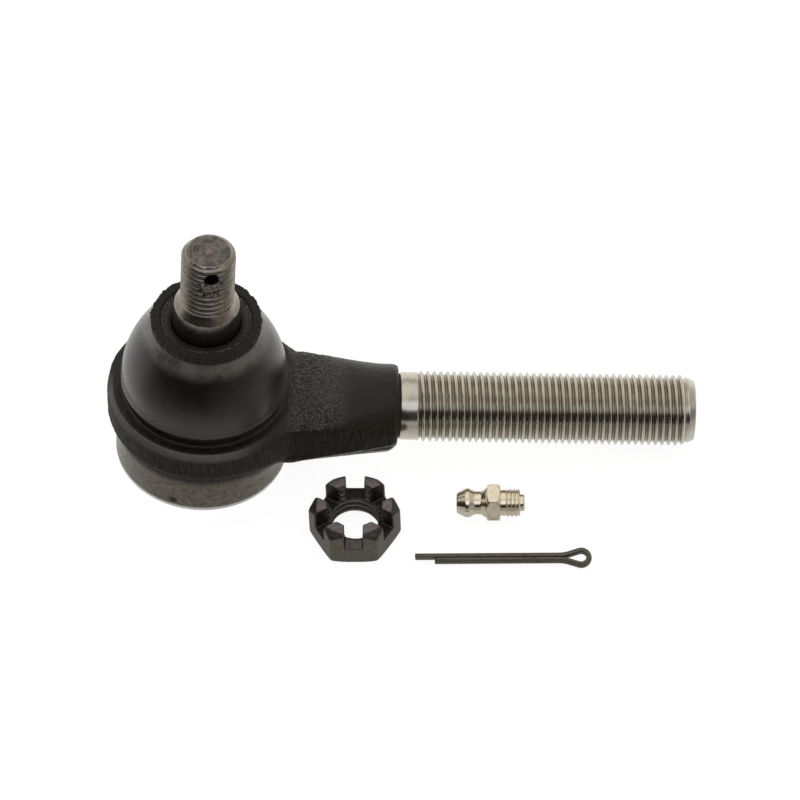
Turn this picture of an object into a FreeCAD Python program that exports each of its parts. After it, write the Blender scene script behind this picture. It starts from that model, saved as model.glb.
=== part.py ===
import FreeCAD, Part

"""Outer tie rod end with a greasable ball joint, and the castle nut, cotter pin and grease fitting that come
with it. Millimetres. The origin is the centre of the ball, +X runs along the threaded shank and +Z along the
ball stud. The loose hardware lies on the plane that the rod end rests on: the plane that touches the rim of
its housing and the tip of its shank."""

import math
import os
import re

import Sketcher

SIZES = {
    # ball stud
    "ball_radius": 11.0,
    "ball_flat_depth": 8.5,
    "neck_radius": 6.4,
    "neck_end": 16.5,
    "taper_start": 19.5,
    "taper_end": 33.7,
    "taper_end_radius": 7.26,
    "taper_slope": 0.0625,
    "stud_thread_start": 35.6,
    "stud_thread_radius": 6.0,
    "stud_thread_end": 49.9,
    "stud_top": 51.0,
    "stud_top_radius": 4.3,
    "centre_mark_radius": 0.7,
    "centre_mark_depth": 0.5,
    "cotter_hole_radius": 1.6,
    "cotter_hole_height": 47.2,
    "cotter_hole_flare": 2.1,
    "fine_pitch": 1.5,
    "fine_depth": 0.92,
    "fine_crest": 0.19,
    "stud_thread_grooves": 9,
    # housing
    "base_depth": 14.8,
    "base_radius": 19.4,
    "base_chamfer": 0.5,
    "rim_inner_radius": 15.4,
    "rim_thickness": 1.0,
    "cover_radius": 16.6,
    "cover_thickness": 1.6,
    "bore_radius": 14.0,
    "bore_top": 8.2,
    "wall_top": 4.2,
    "belt_low": 1.0,
    "belt_low_radius": 21.5,
    "belt_high": 4.5,
    "belt_radius": 21.7,
    "shoulder_height": 5.8,
    "shoulder_radius": 20.4,
    "seat_radius": 17.9,
    "collar_start": 8.5,
    "collar_radius": 16.0,
    "collar_top": 12.5,
    "throat_low_radius": 10.9,
    "throat_high_radius": 12.9,
    # arm and shank
    "arm_start": 15.5,
    "arm_half_width": 11.0,
    "arm_top": 5.2,
    "arm_bottom": 8.2,
    "arm_corner": 5.0,
    "arm_end": 42.0,
    "boss_start": 40.0,
    "boss_radius": 9.3,
    "boss_corner": 9.2,
    "boss_end": 43.7,
    "boss_chamfer": 0.5,
    "relief_radius": 7.65,
    "relief_end": 48.3,
    "shank_thread_start": 48.65,
    "shank_thread_radius": 8.0,
    "shank_thread_end": 107.7,
    "shank_end": 110.7,
    "shank_end_radius": 6.7,
    "shank_thread_grooves": 39,
    # bearings, spring and cover
    "seat_gap": 0.04,
    "upper_bearing_low": 0.6,
    "upper_bearing_edge": 5.2,
    "upper_bearing_mouth": 10.85,
    "lower_bearing_high": 0.6,
    "lower_bearing_low": 10.4,
    "grease_hole_radius": 5.0,
    "spring_inner_radius": 7.4,
    "spring_outer_radius": 13.4,
    "spring_thickness": 0.9,
    "boss_plate_radius": 6.2,
    "boss_plate_low": 14.6,
    "boss_plate_high": 11.6,
    "port_radius": 2.75,
    "port_pitch": 0.907,
    "port_depth": 0.42,
    "port_crest": 0.15,
    "port_grooves": 3,
    # dust boot
    "ring_thickness": 0.8,
    "ring_low": 9.9,
    "ring_high": 12.1,
    "lip_radius": 18.7,
    "lip_low": 8.7,
    "boot_wall": 2.0,
    "belly_radius": 17.6,
    "belly_height": 18.5,
    "rim_radius": 12.4,
    "rim_low": 27.7,
    "boot_top": 28.8,
    "top_ring_inner": 8.05,
    "top_ring_outer": 10.1,
    "top_ring_low": 26.4,
    "top_ring_high": 28.5,
    # castle nut
    "nut_flats": 18.0,
    "nut_height": 9.4,
    "nut_slot_floor": 4.6,
    "nut_slot_width": 4.2,
    "nut_crown_radius": 8.6,
    "nut_crown_drop": 1.9,
    "nut_foot_radius": 9.5,
    "nut_foot_rise": 0.5,
    "nut_bore_radius": 5.19,
    "nut_mouth_radius": 6.3,
    "nut_mouth_depth": 0.8,
    "nut_grooves": 5,
    # grease fitting
    "pilot_radius": 1.9,
    "pilot_length": 1.0,
    "fitting_thread_radius": 3.175,
    "fitting_thread_end": 4.1,
    "fitting_shoulder_radius": 2.9,
    "hex_low": 5.45,
    "hex_high": 8.4,
    "hex_flats": 8.0,
    "hex_crown_radius": 4.1,
    "hex_crown_drop": 0.35,
    "cone_radius": 3.5,
    "cone_end": 9.9,
    "nipple_neck_radius": 2.5,
    "nipple_neck_high": 11.3,
    "nipple_ball_low": 12.4,
    "nipple_ball_high": 13.2,
    "nipple_ball_radius": 3.25,
    "nipple_tip_radius": 2.3,
    "fitting_length": 15.2,
    "fitting_grooves": 3,
    "inlet_radius": 0.75,
    "seat_depth": 0.6,
    "chamber_radius": 1.25,
    "check_ball_radius": 1.15,
    "check_ball_drop": 1.55,
    "check_spring_radius": 1.05,
    "check_spring_wire": 0.11,
    "check_spring_low": 1.4,
    "outlet_radius": 0.8,
    # cotter pin
    "pin_radius": 1.15,
    "leg_gap": 0.06,
    "long_leg": 32.0,
    "short_leg": 27.6,
    "eye_distance": 5.0,
    "eye_radius": 1.2,
    "eye_flare": 8.0,
}

CHECK_SPRING_TURNS = 9
CHECK_SPRING_SIDES = 8

# Where the loose pieces lie on the resting plane: (along the rod, across it), and their turn on it in degrees
NUT_PLACE = (33.3, -25.7)
FITTING_PLACE = (71.4, -22.5)
PIN_PLACE = (78.5, -36.52)
LOOSE_TURN = -2.5
PIN_ROLL = 20.0
FITTING_ROLL = 22.2
RESTING_GAP = 0.02
# How far the stud stands turned in its socket, in degrees, which takes its cross hole off the rod end's side
STUD_TURN = 7.0

UP = FreeCAD.Vector(0, 0, 1)
ACROSS = FreeCAD.Vector(0, 1, 0)
ALONG = FreeCAD.Vector(1, 0, 0)

doc = FreeCAD.newDocument("tie_rod_end")
sheet = doc.addObject("Spreadsheet::Sheet", "dims")


def fill_sheet():
    """One row of the sheet for each driving size: its name, its value and its alias."""
    for row, (name, value) in enumerate(SIZES.items(), start=1):
        sheet.set(f"A{row}", name)
        sheet.set(f"B{row}", str(value))
        sheet.setAlias(f"B{row}", name)
    doc.recompute()


def bound(expression):
    """The same expression with each size name read from the sheet."""

    def named(word):
        return f"dims.{word[0]}" if word[0] in SIZES else word[0]

    return re.sub(r"[a-z][a-z_0-9]*", named, str(expression))


def value_of(expression):
    """The number that an expression of size names gives now."""
    return float(sheet.evalExpression(str(expression)))


def new_body(name):
    body = doc.addObject("PartDesign::Body", name)
    body.Label = name
    return body


def new_sketch(body, name, plane, offset=None):
    """A sketch on one of the body's own origin planes, moved by offset in the sketch's own axes."""
    sketch = body.newObject("Sketcher::SketchObject", name)
    support = [feature for feature in body.Origin.OriginFeatures if feature.Role == plane][0]
    sketch.AttachmentSupport = [(support, "")]
    sketch.MapMode = "FlatFace"
    for axis, expression in (offset or {}).items():
        sketch.setExpression(f"AttachmentOffset.Base.{axis}", bound(expression))
    return sketch


def pin_point(sketch, index, point, place):
    """Holds one sketch point at a pair of expressions."""
    for kind, expression in zip(("DistanceX", "DistanceY"), place):
        rule = Sketcher.Constraint(kind, -1, 1, index, point, value_of(expression))
        number = sketch.addConstraint(rule)
        sketch.setExpression(f"Constraints[{number}]", bound(expression))


def arc_about_axis(start, end):
    """The short arc between two points about a point of the upright axis, and its two end numbers."""
    height = (end.x**2 + end.y**2 - start.x**2 - start.y**2) / (2 * (end.y - start.y))
    centre = FreeCAD.Vector(0, height, 0)
    first = math.atan2(start.y - height, start.x)
    last = math.atan2(end.y - height, end.x)
    circle = Part.Circle(centre, UP, (start - centre).Length)
    if first < last:
        return Part.ArcOfCircle(circle, first, last), (1, 2)
    return Part.ArcOfCircle(circle, last, first), (2, 1)


def outline(sketch, corners, round_edges=()):
    """A closed outline. Each corner is a pair of expressions, and round_edges are the numbers of the edges
    that are arcs about a point of the upright axis. The rest are straight."""
    points = [FreeCAD.Vector(value_of(x), value_of(y), 0) for x, y in corners]
    count = len(points)
    ends = []
    for index in range(count):
        start, end = points[index], points[(index + 1) % count]
        edge, order = Part.LineSegment(start, end), (1, 2)
        if index in round_edges:
            edge, order = arc_about_axis(start, end)
        sketch.addGeometry(edge)
        ends.append(order)
    for index in range(count):
        following = (index + 1) % count
        joint = Sketcher.Constraint("Coincident", index, ends[index][1], following, ends[following][0])
        sketch.addConstraint(joint)
    for index in round_edges:
        sketch.addConstraint(Sketcher.Constraint("PointOnObject", index, 3, -2))
    for index, corner in enumerate(corners):
        pin_point(sketch, index, ends[index][0], corner)
    return sketch


def volume_of(body):
    doc.recompute()
    return body.Shape.Volume if not body.Shape.isNull() else 0.0


def turned(body, name, plane, corners, axis="V_Axis", cut=False, offset=None, round_edges=()):
    """An outline turned about one of its sketch's axes, added to the body or cut from it."""
    before = volume_of(body)
    sketch = outline(new_sketch(body, name + "_outline", plane, offset), corners, round_edges)
    feature = body.newObject("PartDesign::Groove" if cut else "PartDesign::Revolution", name)
    feature.Profile = sketch
    feature.ReferenceAxis = (sketch, [axis])
    feature.Angle = 360
    changed = volume_of(body) - before
    if (changed < 0) != cut:
        raise ValueError(f"{name} changed its body by {changed:.1f} mm3")
    return feature


def thread(body, name, plane, first, radius, pitch, depth, crest, count, along, inside=False):
    """Ring grooves at a thread's pitch: a groove of the thread's own section, repeated along the axis."""
    out = "-1 * " if inside else ""
    flank = f"{depth} * tan(30 deg)"
    top = f"({pitch} - {crest}) / 2"
    mouth = f"{radius} + {out}0.2"
    wide = f"{top} + 0.2 * tan(30 deg)"
    root = f"{radius} - {out}{depth}"
    floor = f"({top}) - {flank}"
    corners = [
        (mouth, f"{first} - ({wide})"),
        (mouth, f"{first} + ({wide})"),
        (root, f"{first} + {floor}"),
        (root, f"{first} - ({floor})"),
    ]
    if along == "H_Axis":
        corners = [(y, x) for x, y in corners]
    groove = turned(body, name + "_groove", plane, corners, axis=along, cut=True)
    before = volume_of(body)
    rings = body.newObject("PartDesign::LinearPattern", name)
    rings.Originals = [groove]
    rings.Direction = (groove.Profile[0], [along])
    rings.setExpression("Length", bound(f"{pitch} * ({count} - 1)"))
    rings.setExpression("Occurrences", bound(count))
    body.Tip = rings
    if volume_of(body) >= before:
        raise ValueError(f"{name} cut nothing")
    return rings


def rounded_section(body, name, distance, half_width, top, bottom, corner):
    """A rectangle with round corners, standing across the arm at a distance along it."""
    sketch = new_sketch(body, name, "YZ_Plane", {"z": distance})
    wide, high, low, radius = (value_of(x) for x in (half_width, top, bottom, corner))
    centres = [
        (wide - radius, radius - low),
        (wide - radius, high - radius),
        (radius - wide, high - radius),
        (radius - wide, radius - low),
    ]
    arcs = []
    for number, (x, y) in enumerate(centres):
        circle = Part.Circle(FreeCAD.Vector(x, y, 0), UP, radius)
        start = math.radians(90 * (number - 1))
        arcs.append(Part.ArcOfCircle(circle, start, start + math.pi / 2))
    for number, arc in enumerate(arcs):
        following = arcs[(number + 1) % 4]
        sketch.addGeometry(arc)
        sketch.addGeometry(Part.LineSegment(arc.EndPoint, following.StartPoint))
    for number in range(4):
        arc, line, following = 2 * number, 2 * number + 1, (2 * number + 2) % 8
        sketch.addConstraint(Sketcher.Constraint("Tangent", arc, 2, line, 1))
        sketch.addConstraint(Sketcher.Constraint("Tangent", line, 2, following, 1))
    for line, way in ((1, "Vertical"), (3, "Horizontal"), (5, "Vertical"), (7, "Horizontal")):
        sketch.addConstraint(Sketcher.Constraint(way, line))
    for arc in (2, 4, 6):
        sketch.addConstraint(Sketcher.Constraint("Equal", 0, arc))
    rules = [
        (Sketcher.Constraint("Radius", 0, radius), corner),
        (Sketcher.Constraint("DistanceX", -1, 1, 1, 1, wide), half_width),
        (Sketcher.Constraint("DistanceX", -1, 1, 5, 1, -wide), f"-1 * {half_width}"),
        (Sketcher.Constraint("DistanceY", -1, 1, 3, 1, high), top),
        (Sketcher.Constraint("DistanceY", -1, 1, 7, 1, -low), f"-1 * {bottom}"),
    ]
    for rule, expression in rules:
        number = sketch.addConstraint(rule)
        sketch.setExpression(f"Constraints[{number}]", bound(expression))
    return sketch


def make_housing():
    """The forging: socket, arm and threaded shank in one piece, with the socket bored from below."""
    body = new_body("housing")
    turned(
        body,
        "socket",
        "XZ_Plane",
        [
            ("0", "-1 * base_depth"),
            ("base_radius - base_chamfer", "-1 * base_depth"),
            ("base_radius", "base_chamfer - base_depth"),
            ("base_radius", "-1 * wall_top"),
            ("belt_low_radius", "-1 * belt_low"),
            ("belt_radius", "belt_high"),
            ("shoulder_radius", "shoulder_height"),
            ("seat_radius", "shoulder_height"),
            ("seat_radius", "collar_start"),
            ("collar_radius", "collar_start"),
            ("collar_radius", "collar_top"),
            ("0", "collar_top"),
        ],
    )
    root = ("arm_half_width", "arm_top", "arm_bottom", "arm_corner")
    tip = ("boss_radius", "boss_radius", "boss_radius", "boss_corner")
    near = rounded_section(body, "arm_root", "arm_start", *root)
    far = rounded_section(body, "arm_tip", "arm_end", *tip)
    before = volume_of(body)
    arm = body.newObject("PartDesign::AdditiveLoft", "arm")
    arm.Profile = near
    arm.Sections = [far]
    if volume_of(body) <= before:
        raise ValueError("the arm added nothing")
    turned(
        body,
        "shank",
        "XZ_Plane",
        [
            ("boss_start", "0"),
            ("boss_start", "boss_radius"),
            ("boss_end - boss_chamfer", "boss_radius"),
            ("boss_end", "boss_radius - boss_chamfer"),
            ("boss_end", "relief_radius"),
            ("relief_end", "relief_radius"),
            ("shank_thread_start", "shank_thread_radius"),
            ("shank_thread_end", "shank_thread_radius"),
            ("shank_end", "shank_end_radius"),
            ("shank_end", "0"),
        ],
        axis="H_Axis",
    )
    turned(
        body,
        "cavity",
        "XZ_Plane",
        [
            ("0", "-1 * base_depth - 1"),
            ("rim_inner_radius", "-1 * base_depth - 1"),
            ("rim_inner_radius", "rim_thickness - base_depth"),
            ("cover_radius", "rim_thickness - base_depth"),
            ("cover_radius", "rim_thickness + cover_thickness - base_depth"),
            ("bore_radius", "rim_thickness + cover_thickness - base_depth"),
            ("bore_radius", "bore_top"),
            ("throat_low_radius", "bore_top"),
            ("throat_high_radius", "collar_top"),
            ("throat_high_radius", "collar_top + 1"),
            ("0", "collar_top + 1"),
        ],
        cut=True,
    )
    thread(
        body,
        "shank_thread",
        "XZ_Plane",
        "shank_thread_start + 1.1",
        "shank_thread_radius",
        "fine_pitch",
        "fine_depth",
        "fine_crest",
        "shank_thread_grooves",
        "H_Axis",
    )
    return body


def make_ball_stud():
    """Ball, neck, taper and thread in one forging, with a cross hole for the cotter pin."""
    body = new_body("ball_stud")
    turned(
        body,
        "stud",
        "XZ_Plane",
        [
            ("0", "-1 * ball_flat_depth"),
            ("sqrt(ball_radius ^ 2 - ball_flat_depth ^ 2)", "-1 * ball_flat_depth"),
            ("neck_radius", "sqrt(ball_radius ^ 2 - neck_radius ^ 2)"),
            ("neck_radius", "neck_end"),
            ("taper_end_radius + (taper_end - taper_start) * taper_slope", "taper_start"),
            ("taper_end_radius", "taper_end"),
            ("stud_thread_radius", "stud_thread_start"),
            ("stud_thread_radius", "stud_thread_end"),
            ("stud_top_radius", "stud_top"),
            ("centre_mark_radius", "stud_top"),
            ("0", "stud_top - centre_mark_depth"),
        ],
        round_edges=(1,),
    )
    thread(
        body,
        "stud_thread",
        "XZ_Plane",
        "stud_thread_start + 0.9",
        "stud_thread_radius",
        "fine_pitch",
        "fine_depth",
        "fine_crest",
        "stud_thread_grooves",
        "V_Axis",
    )
    turned(
        body,
        "cotter_hole",
        "YZ_Plane",
        [
            ("-1 * stud_thread_radius - 1", "0"),
            ("-1 * stud_thread_radius - 1", "cotter_hole_flare + 1"),
            ("-1 * stud_thread_radius", "cotter_hole_flare"),
            ("cotter_hole_flare - cotter_hole_radius - stud_thread_radius", "cotter_hole_radius"),
            ("stud_thread_radius - cotter_hole_flare + cotter_hole_radius", "cotter_hole_radius"),
            ("stud_thread_radius", "cotter_hole_flare"),
            ("stud_thread_radius + 1", "cotter_hole_flare + 1"),
            ("stud_thread_radius + 1", "0"),
        ],
        axis="H_Axis",
        cut=True,
        offset={"y": "cotter_hole_height"},
    )
    return body


def make_upper_bearing():
    """The ring above the ball that carries the pull on the stud."""
    body = new_body("upper_bearing")
    seat = "ball_radius + seat_gap"
    turned(
        body,
        "ring",
        "XZ_Plane",
        [
            ("bore_radius", "upper_bearing_low"),
            ("bore_radius", "bore_top"),
            ("upper_bearing_mouth", "bore_top"),
            (f"sqrt(({seat}) ^ 2 - upper_bearing_edge ^ 2)", "upper_bearing_edge"),
            (f"sqrt(({seat}) ^ 2 - upper_bearing_low ^ 2)", "upper_bearing_low"),
        ],
        round_edges=(3,),
    )
    return body


def make_lower_bearing():
    """The cup that the spring presses up against the ball."""
    body = new_body("lower_bearing")
    seat = "ball_radius + seat_gap"
    turned(
        body,
        "cup",
        "XZ_Plane",
        [
            ("bore_radius", "-1 * lower_bearing_high"),
            (f"sqrt(({seat}) ^ 2 - lower_bearing_high ^ 2)", "-1 * lower_bearing_high"),
            ("grease_hole_radius", f"-1 * sqrt(({seat}) ^ 2 - grease_hole_radius ^ 2)"),
            ("grease_hole_radius", "-1 * lower_bearing_low"),
            ("bore_radius", "-1 * lower_bearing_low"),
        ],
        round_edges=(1,),
    )
    return body


def make_disc_spring():
    """A coned disc between the cover and the lower bearing, which takes up the wear of the seats."""
    body = new_body("preload_disc_spring")
    floor = "rim_thickness + cover_thickness - base_depth"
    turned(
        body,
        "disc",
        "XZ_Plane",
        [
            ("spring_inner_radius", floor),
            ("spring_outer_radius", "-1 * lower_bearing_low - spring_thickness"),
            ("spring_outer_radius", "-1 * lower_bearing_low"),
            ("spring_inner_radius", f"{floor} + spring_thickness"),
        ],
    )
    return body


def make_cover_plate():
    """The disc that the rim of the housing is rolled over, with the threaded grease port in its boss."""
    body = new_body("cover_plate")
    low = "rim_thickness - base_depth"
    high = "rim_thickness + cover_thickness - base_depth"
    turned(
        body,
        "plate",
        "XZ_Plane",
        [
            ("port_radius", "-1 * boss_plate_low"),
            ("boss_plate_radius", "-1 * boss_plate_low"),
            ("boss_plate_radius + 0.6", low),
            ("cover_radius", low),
            ("cover_radius", high),
            ("boss_plate_radius + 0.6", high),
            ("boss_plate_radius", "-1 * boss_plate_high"),
            ("port_radius", "-1 * boss_plate_high"),
        ],
    )
    thread(
        body,
        "port_thread",
        "XZ_Plane",
        "port_pitch / 2 + 0.1 - boss_plate_low",
        "port_radius",
        "port_pitch",
        "port_depth",
        "port_crest",
        "port_grooves",
        "V_Axis",
        inside=True,
    )
    return body


def make_boot_retaining_ring():
    """The steel band inside the boot's lower lip, pressed over the housing's collar."""
    body = new_body("boot_retaining_ring")
    outer = "collar_radius + ring_thickness"
    turned(
        body,
        "band",
        "XZ_Plane",
        [
            ("collar_radius", "ring_low"),
            (outer, "ring_low"),
            (outer, "ring_high"),
            ("collar_radius", "ring_high"),
        ],
    )
    return body


def make_dust_boot():
    """The rubber bell from the housing's collar up to the ring round the stud."""
    body = new_body("dust_boot")
    outer = "collar_radius + ring_thickness"
    turned(
        body,
        "bell",
        "XZ_Plane",
        [
            (outer, "lip_low + 0.9"),
            ("lip_radius - 0.5", "lip_low"),
            ("lip_radius", "lip_low + 0.5"),
            ("lip_radius", "collar_top"),
            ("belly_radius", "belly_height"),
            ("belly_radius - 2.6", "belly_height + 5"),
            ("rim_radius", "rim_low"),
            ("rim_radius", "boot_top"),
            ("top_ring_outer", "boot_top"),
            ("top_ring_outer", "top_ring_low"),
            ("belly_radius - 2.6 - boot_wall", "belly_height + 4"),
            ("belly_radius - boot_wall", "belly_height"),
            (outer, "collar_top + 0.6"),
        ],
    )
    return body


def make_boot_top_ring():
    """The stiff ring that seals on the stud's taper and swings with it, while the stud turns inside it."""
    body = new_body("boot_top_ring")
    turned(
        body,
        "ring",
        "XZ_Plane",
        [
            ("top_ring_inner", "top_ring_low"),
            ("top_ring_outer", "top_ring_low"),
            ("top_ring_outer", "top_ring_high"),
            ("top_ring_inner", "top_ring_high"),
        ],
    )
    return body


def hexagon(flats):
    """The corners of a hexagon with two flats square to the sketch's upright axis."""
    wide, half, high = f"{flats} / sqrt(3)", f"{flats} / sqrt(12)", f"{flats} / 2"
    return [
        (wide, "0"),
        (half, high),
        (f"-1 * {half}", high),
        (f"-1 * {wide}", "0"),
        (f"-1 * {half}", f"-1 * {high}"),
        (half, f"-1 * {high}"),
    ]


def make_castle_nut():
    """A slotted hexagon nut, modelled on its own axis with its foot at zero."""
    body = new_body("castle_nut")
    sketch = outline(new_sketch(body, "hexagon", "XY_Plane"), hexagon("nut_flats"))
    blank = body.newObject("PartDesign::Pad", "blank")
    blank.Profile = sketch
    blank.setExpression("Length", bound("nut_height"))
    corner = "nut_flats / sqrt(3)"
    crown_slope = f"nut_crown_drop / ({corner} - nut_crown_radius)"
    foot_slope = f"nut_foot_rise / ({corner} - nut_foot_radius)"
    turned(
        body,
        "crown",
        "XZ_Plane",
        [
            ("nut_crown_radius", "nut_height"),
            (f"{corner} + 1", "nut_height"),
            (f"{corner} + 1", f"nut_height - ({corner} + 1 - nut_crown_radius) * {crown_slope}"),
        ],
        cut=True,
    )
    turned(
        body,
        "foot",
        "XZ_Plane",
        [
            ("nut_foot_radius", "0"),
            (f"{corner} + 1", f"({corner} + 1 - nut_foot_radius) * {foot_slope}"),
            (f"{corner} + 1", "0"),
        ],
        cut=True,
    )
    turned(
        body,
        "bore",
        "XZ_Plane",
        [
            ("0", "0"),
            ("nut_mouth_radius", "0"),
            ("nut_bore_radius", "nut_mouth_depth"),
            ("nut_bore_radius", "nut_height - nut_mouth_depth"),
            ("nut_mouth_radius", "nut_height"),
            ("0", "nut_height"),
        ],
        cut=True,
    )
    thread(
        body,
        "nut_thread",
        "XZ_Plane",
        "nut_mouth_depth + 0.85",
        "nut_bore_radius",
        "fine_pitch",
        "fine_depth",
        "fine_crest",
        "nut_grooves",
        "V_Axis",
        inside=True,
    )
    cut_slots(body)
    return body


def cut_slots(body):
    """Three slots right across the nut's crown, one for each pair of flats."""
    half = "nut_slot_width / 2"
    sketch = new_sketch(body, "slot_outline", "XZ_Plane")
    outline(
        sketch,
        [
            (f"-1 * {half}", "nut_slot_floor"),
            (half, "nut_slot_floor"),
            (half, "nut_height + 1"),
            (f"-1 * {half}", "nut_height + 1"),
        ],
    )
    before = volume_of(body)
    slot = body.newObject("PartDesign::Pocket", "slot")
    slot.Profile = sketch
    slot.Type = "ThroughAll"
    slot.Midplane = True
    one = volume_of(body)
    slots = body.newObject("PartDesign::PolarPattern", "slots")
    slots.Originals = [slot]
    slots.Axis = (sketch, ["V_Axis"])
    slots.Angle = 120
    slots.Occurrences = 3
    body.Tip = slots
    if not before > one > volume_of(body):
        raise ValueError("the slots cut nothing")


def make_grease_fitting_body():
    """The fitting's steel body on its own axis: thread at the foot, nipple at the top, check valve inside."""
    body = new_body("grease_fitting_body")
    sketch = outline(new_sketch(body, "hexagon_outline", "XY_Plane", {"z": "hex_low"}), hexagon("hex_flats"))
    pad = body.newObject("PartDesign::Pad", "hexagon")
    pad.Profile = sketch
    pad.setExpression("Length", bound("hex_high - hex_low"))
    corner = "hex_flats / sqrt(3)"
    slope = f"hex_crown_drop / ({corner} - hex_crown_radius)"
    turned(
        body,
        "hexagon_crown",
        "XZ_Plane",
        [
            ("hex_crown_radius", "hex_high"),
            (f"{corner} + 1", "hex_high"),
            (f"{corner} + 1", f"hex_high - ({corner} + 1 - hex_crown_radius) * {slope}"),
        ],
        cut=True,
    )
    turned(
        body,
        "round_part",
        "XZ_Plane",
        [
            ("0", "0"),
            ("pilot_radius", "0"),
            ("pilot_radius", "pilot_length"),
            ("fitting_shoulder_radius - 0.2", "pilot_length"),
            ("fitting_thread_radius", "pilot_length + 0.4"),
            ("fitting_thread_radius", "fitting_thread_end"),
            ("fitting_shoulder_radius", "fitting_thread_end + 0.3"),
            ("fitting_shoulder_radius", "hex_low"),
            ("cone_radius", "hex_low"),
            ("cone_radius", "hex_high"),
            ("nipple_neck_radius", "cone_end"),
            ("nipple_neck_radius", "nipple_neck_high"),
            ("nipple_ball_radius", "nipple_ball_low"),
            ("nipple_ball_radius", "nipple_ball_high"),
            ("nipple_tip_radius", "fitting_length"),
            ("0", "fitting_length"),
        ],
    )
    cone_depth = "seat_depth + chamber_radius - inlet_radius"
    turned(
        body,
        "grease_passage",
        "XZ_Plane",
        [
            ("0", "0"),
            ("outlet_radius", "0"),
            ("outlet_radius", "check_spring_low"),
            ("chamber_radius", "check_spring_low"),
            ("chamber_radius", f"fitting_length - ({cone_depth})"),
            ("inlet_radius", "fitting_length - seat_depth"),
            ("inlet_radius", "fitting_length"),
            ("0", "fitting_length"),
        ],
        cut=True,
    )
    thread(
        body,
        "fitting_thread",
        "XZ_Plane",
        "pilot_length + 0.95",
        "fitting_thread_radius",
        "port_pitch",
        "port_depth",
        "port_crest",
        "fitting_grooves",
        "V_Axis",
    )
    return body


def make_grease_fitting_ball():
    """The check ball under the nipple's inlet."""
    ball = doc.addObject("Part::Sphere", "grease_fitting_ball")
    ball.Label = "grease_fitting_ball"
    ball.setExpression("Radius", bound("check_ball_radius"))
    return ball


def make_grease_fitting_spring():
    """The coil spring that holds the check ball up, on the fitting's own axis."""
    helix = doc.addObject("Part::Helix", "spring_line")
    reach, inside = "check_ball_radius + check_spring_wire", "check_spring_radius - check_spring_wire"
    contact = f"sqrt(({reach}) ^ 2 - ({inside}) ^ 2)"
    top = f"fitting_length - check_ball_drop - {contact} - check_spring_wire"
    length = f"{top} - check_spring_low - 2 * check_spring_wire"
    helix.setExpression("Radius", bound("check_spring_radius"))
    helix.setExpression("Height", bound(length))
    helix.setExpression("Pitch", bound(f"({length}) / {CHECK_SPRING_TURNS}"))
    wire = doc.addObject("Part::RegularPolygon", "spring_wire")
    wire.Polygon = CHECK_SPRING_SIDES
    wire.setExpression("Circumradius", bound("check_spring_wire"))
    wire.setExpression("Placement.Base.x", bound("check_spring_radius"))
    wire.Placement.Rotation = FreeCAD.Rotation(ALONG, 90)
    doc.recompute()
    spring = doc.addObject("Part::Sweep", "grease_fitting_spring")
    spring.Label = "grease_fitting_spring"
    spring.Sections = [wire]
    spring.Spine = (helix, ["Edge1"])
    spring.Solid = True
    spring.Frenet = True
    return spring


def pin_line(body):
    """The line that the flat side of the pin's wire follows: up one leg, round the eye and down the other."""
    gap, flare, eye = value_of("leg_gap"), value_of("eye_flare"), value_of("eye_radius")
    reach = value_of("eye_distance")
    lean = math.atan2(reach, gap + flare)
    lean -= math.acos((eye + flare) / math.hypot(reach, gap + flare))
    leave = FreeCAD.Vector(flare * math.sin(lean), gap + flare * (1 - math.cos(lean)), 0)
    meet = FreeCAD.Vector(reach - eye * math.sin(lean), eye * math.cos(lean), 0)
    mirrored = [FreeCAD.Vector(point.x, -point.y, 0) for point in (leave, meet)]
    right = math.pi / 2

    def arc(x, y, radius, first, last):
        return Part.ArcOfCircle(Part.Circle(FreeCAD.Vector(x, y, 0), UP, radius), first, last)

    def leg_line(start, end):
        return Part.LineSegment(FreeCAD.Vector(*start, 0), FreeCAD.Vector(*end, 0))

    sketch = new_sketch(body, "wire_line", "XY_Plane")
    for edge in (
        leg_line((-value_of("long_leg"), gap), (0, gap)),
        arc(0, gap + flare, flare, -right, lean - right),
        Part.LineSegment(leave, meet),
        arc(reach, 0, eye, -right - lean, right + lean),
        Part.LineSegment(mirrored[1], mirrored[0]),
        arc(0, -gap - flare, flare, right - lean, right),
        leg_line((0, -gap), (-value_of("short_leg"), -gap)),
    ):
        sketch.addGeometry(edge)
    ends = [(1, 2), (1, 2), (1, 2), (2, 1), (1, 2), (1, 2), (1, 2)]
    for index in range(6):
        rule = Sketcher.Constraint("Tangent", index, ends[index][1], index + 1, ends[index + 1][0])
        sketch.addConstraint(rule)
    sketch.addConstraint(Sketcher.Constraint("Horizontal", 0))
    sketch.addConstraint(Sketcher.Constraint("Horizontal", 6))
    pin_point(sketch, 0, 1, ("-1 * long_leg", "leg_gap"))
    pin_point(sketch, 6, 2, ("-1 * short_leg", "-1 * leg_gap"))
    pin_point(sketch, 3, 3, ("eye_distance", "0"))
    sketch.addConstraint(Sketcher.Constraint("DistanceX", -1, 1, 0, 2, 0))
    sketch.addConstraint(Sketcher.Constraint("DistanceX", -1, 1, 6, 1, 0))
    for index, expression in ((1, "eye_flare"), (5, "eye_flare"), (3, "eye_radius")):
        number = sketch.addConstraint(Sketcher.Constraint("Radius", index, value_of(expression)))
        sketch.setExpression(f"Constraints[{number}]", bound(expression))
    return sketch


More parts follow.
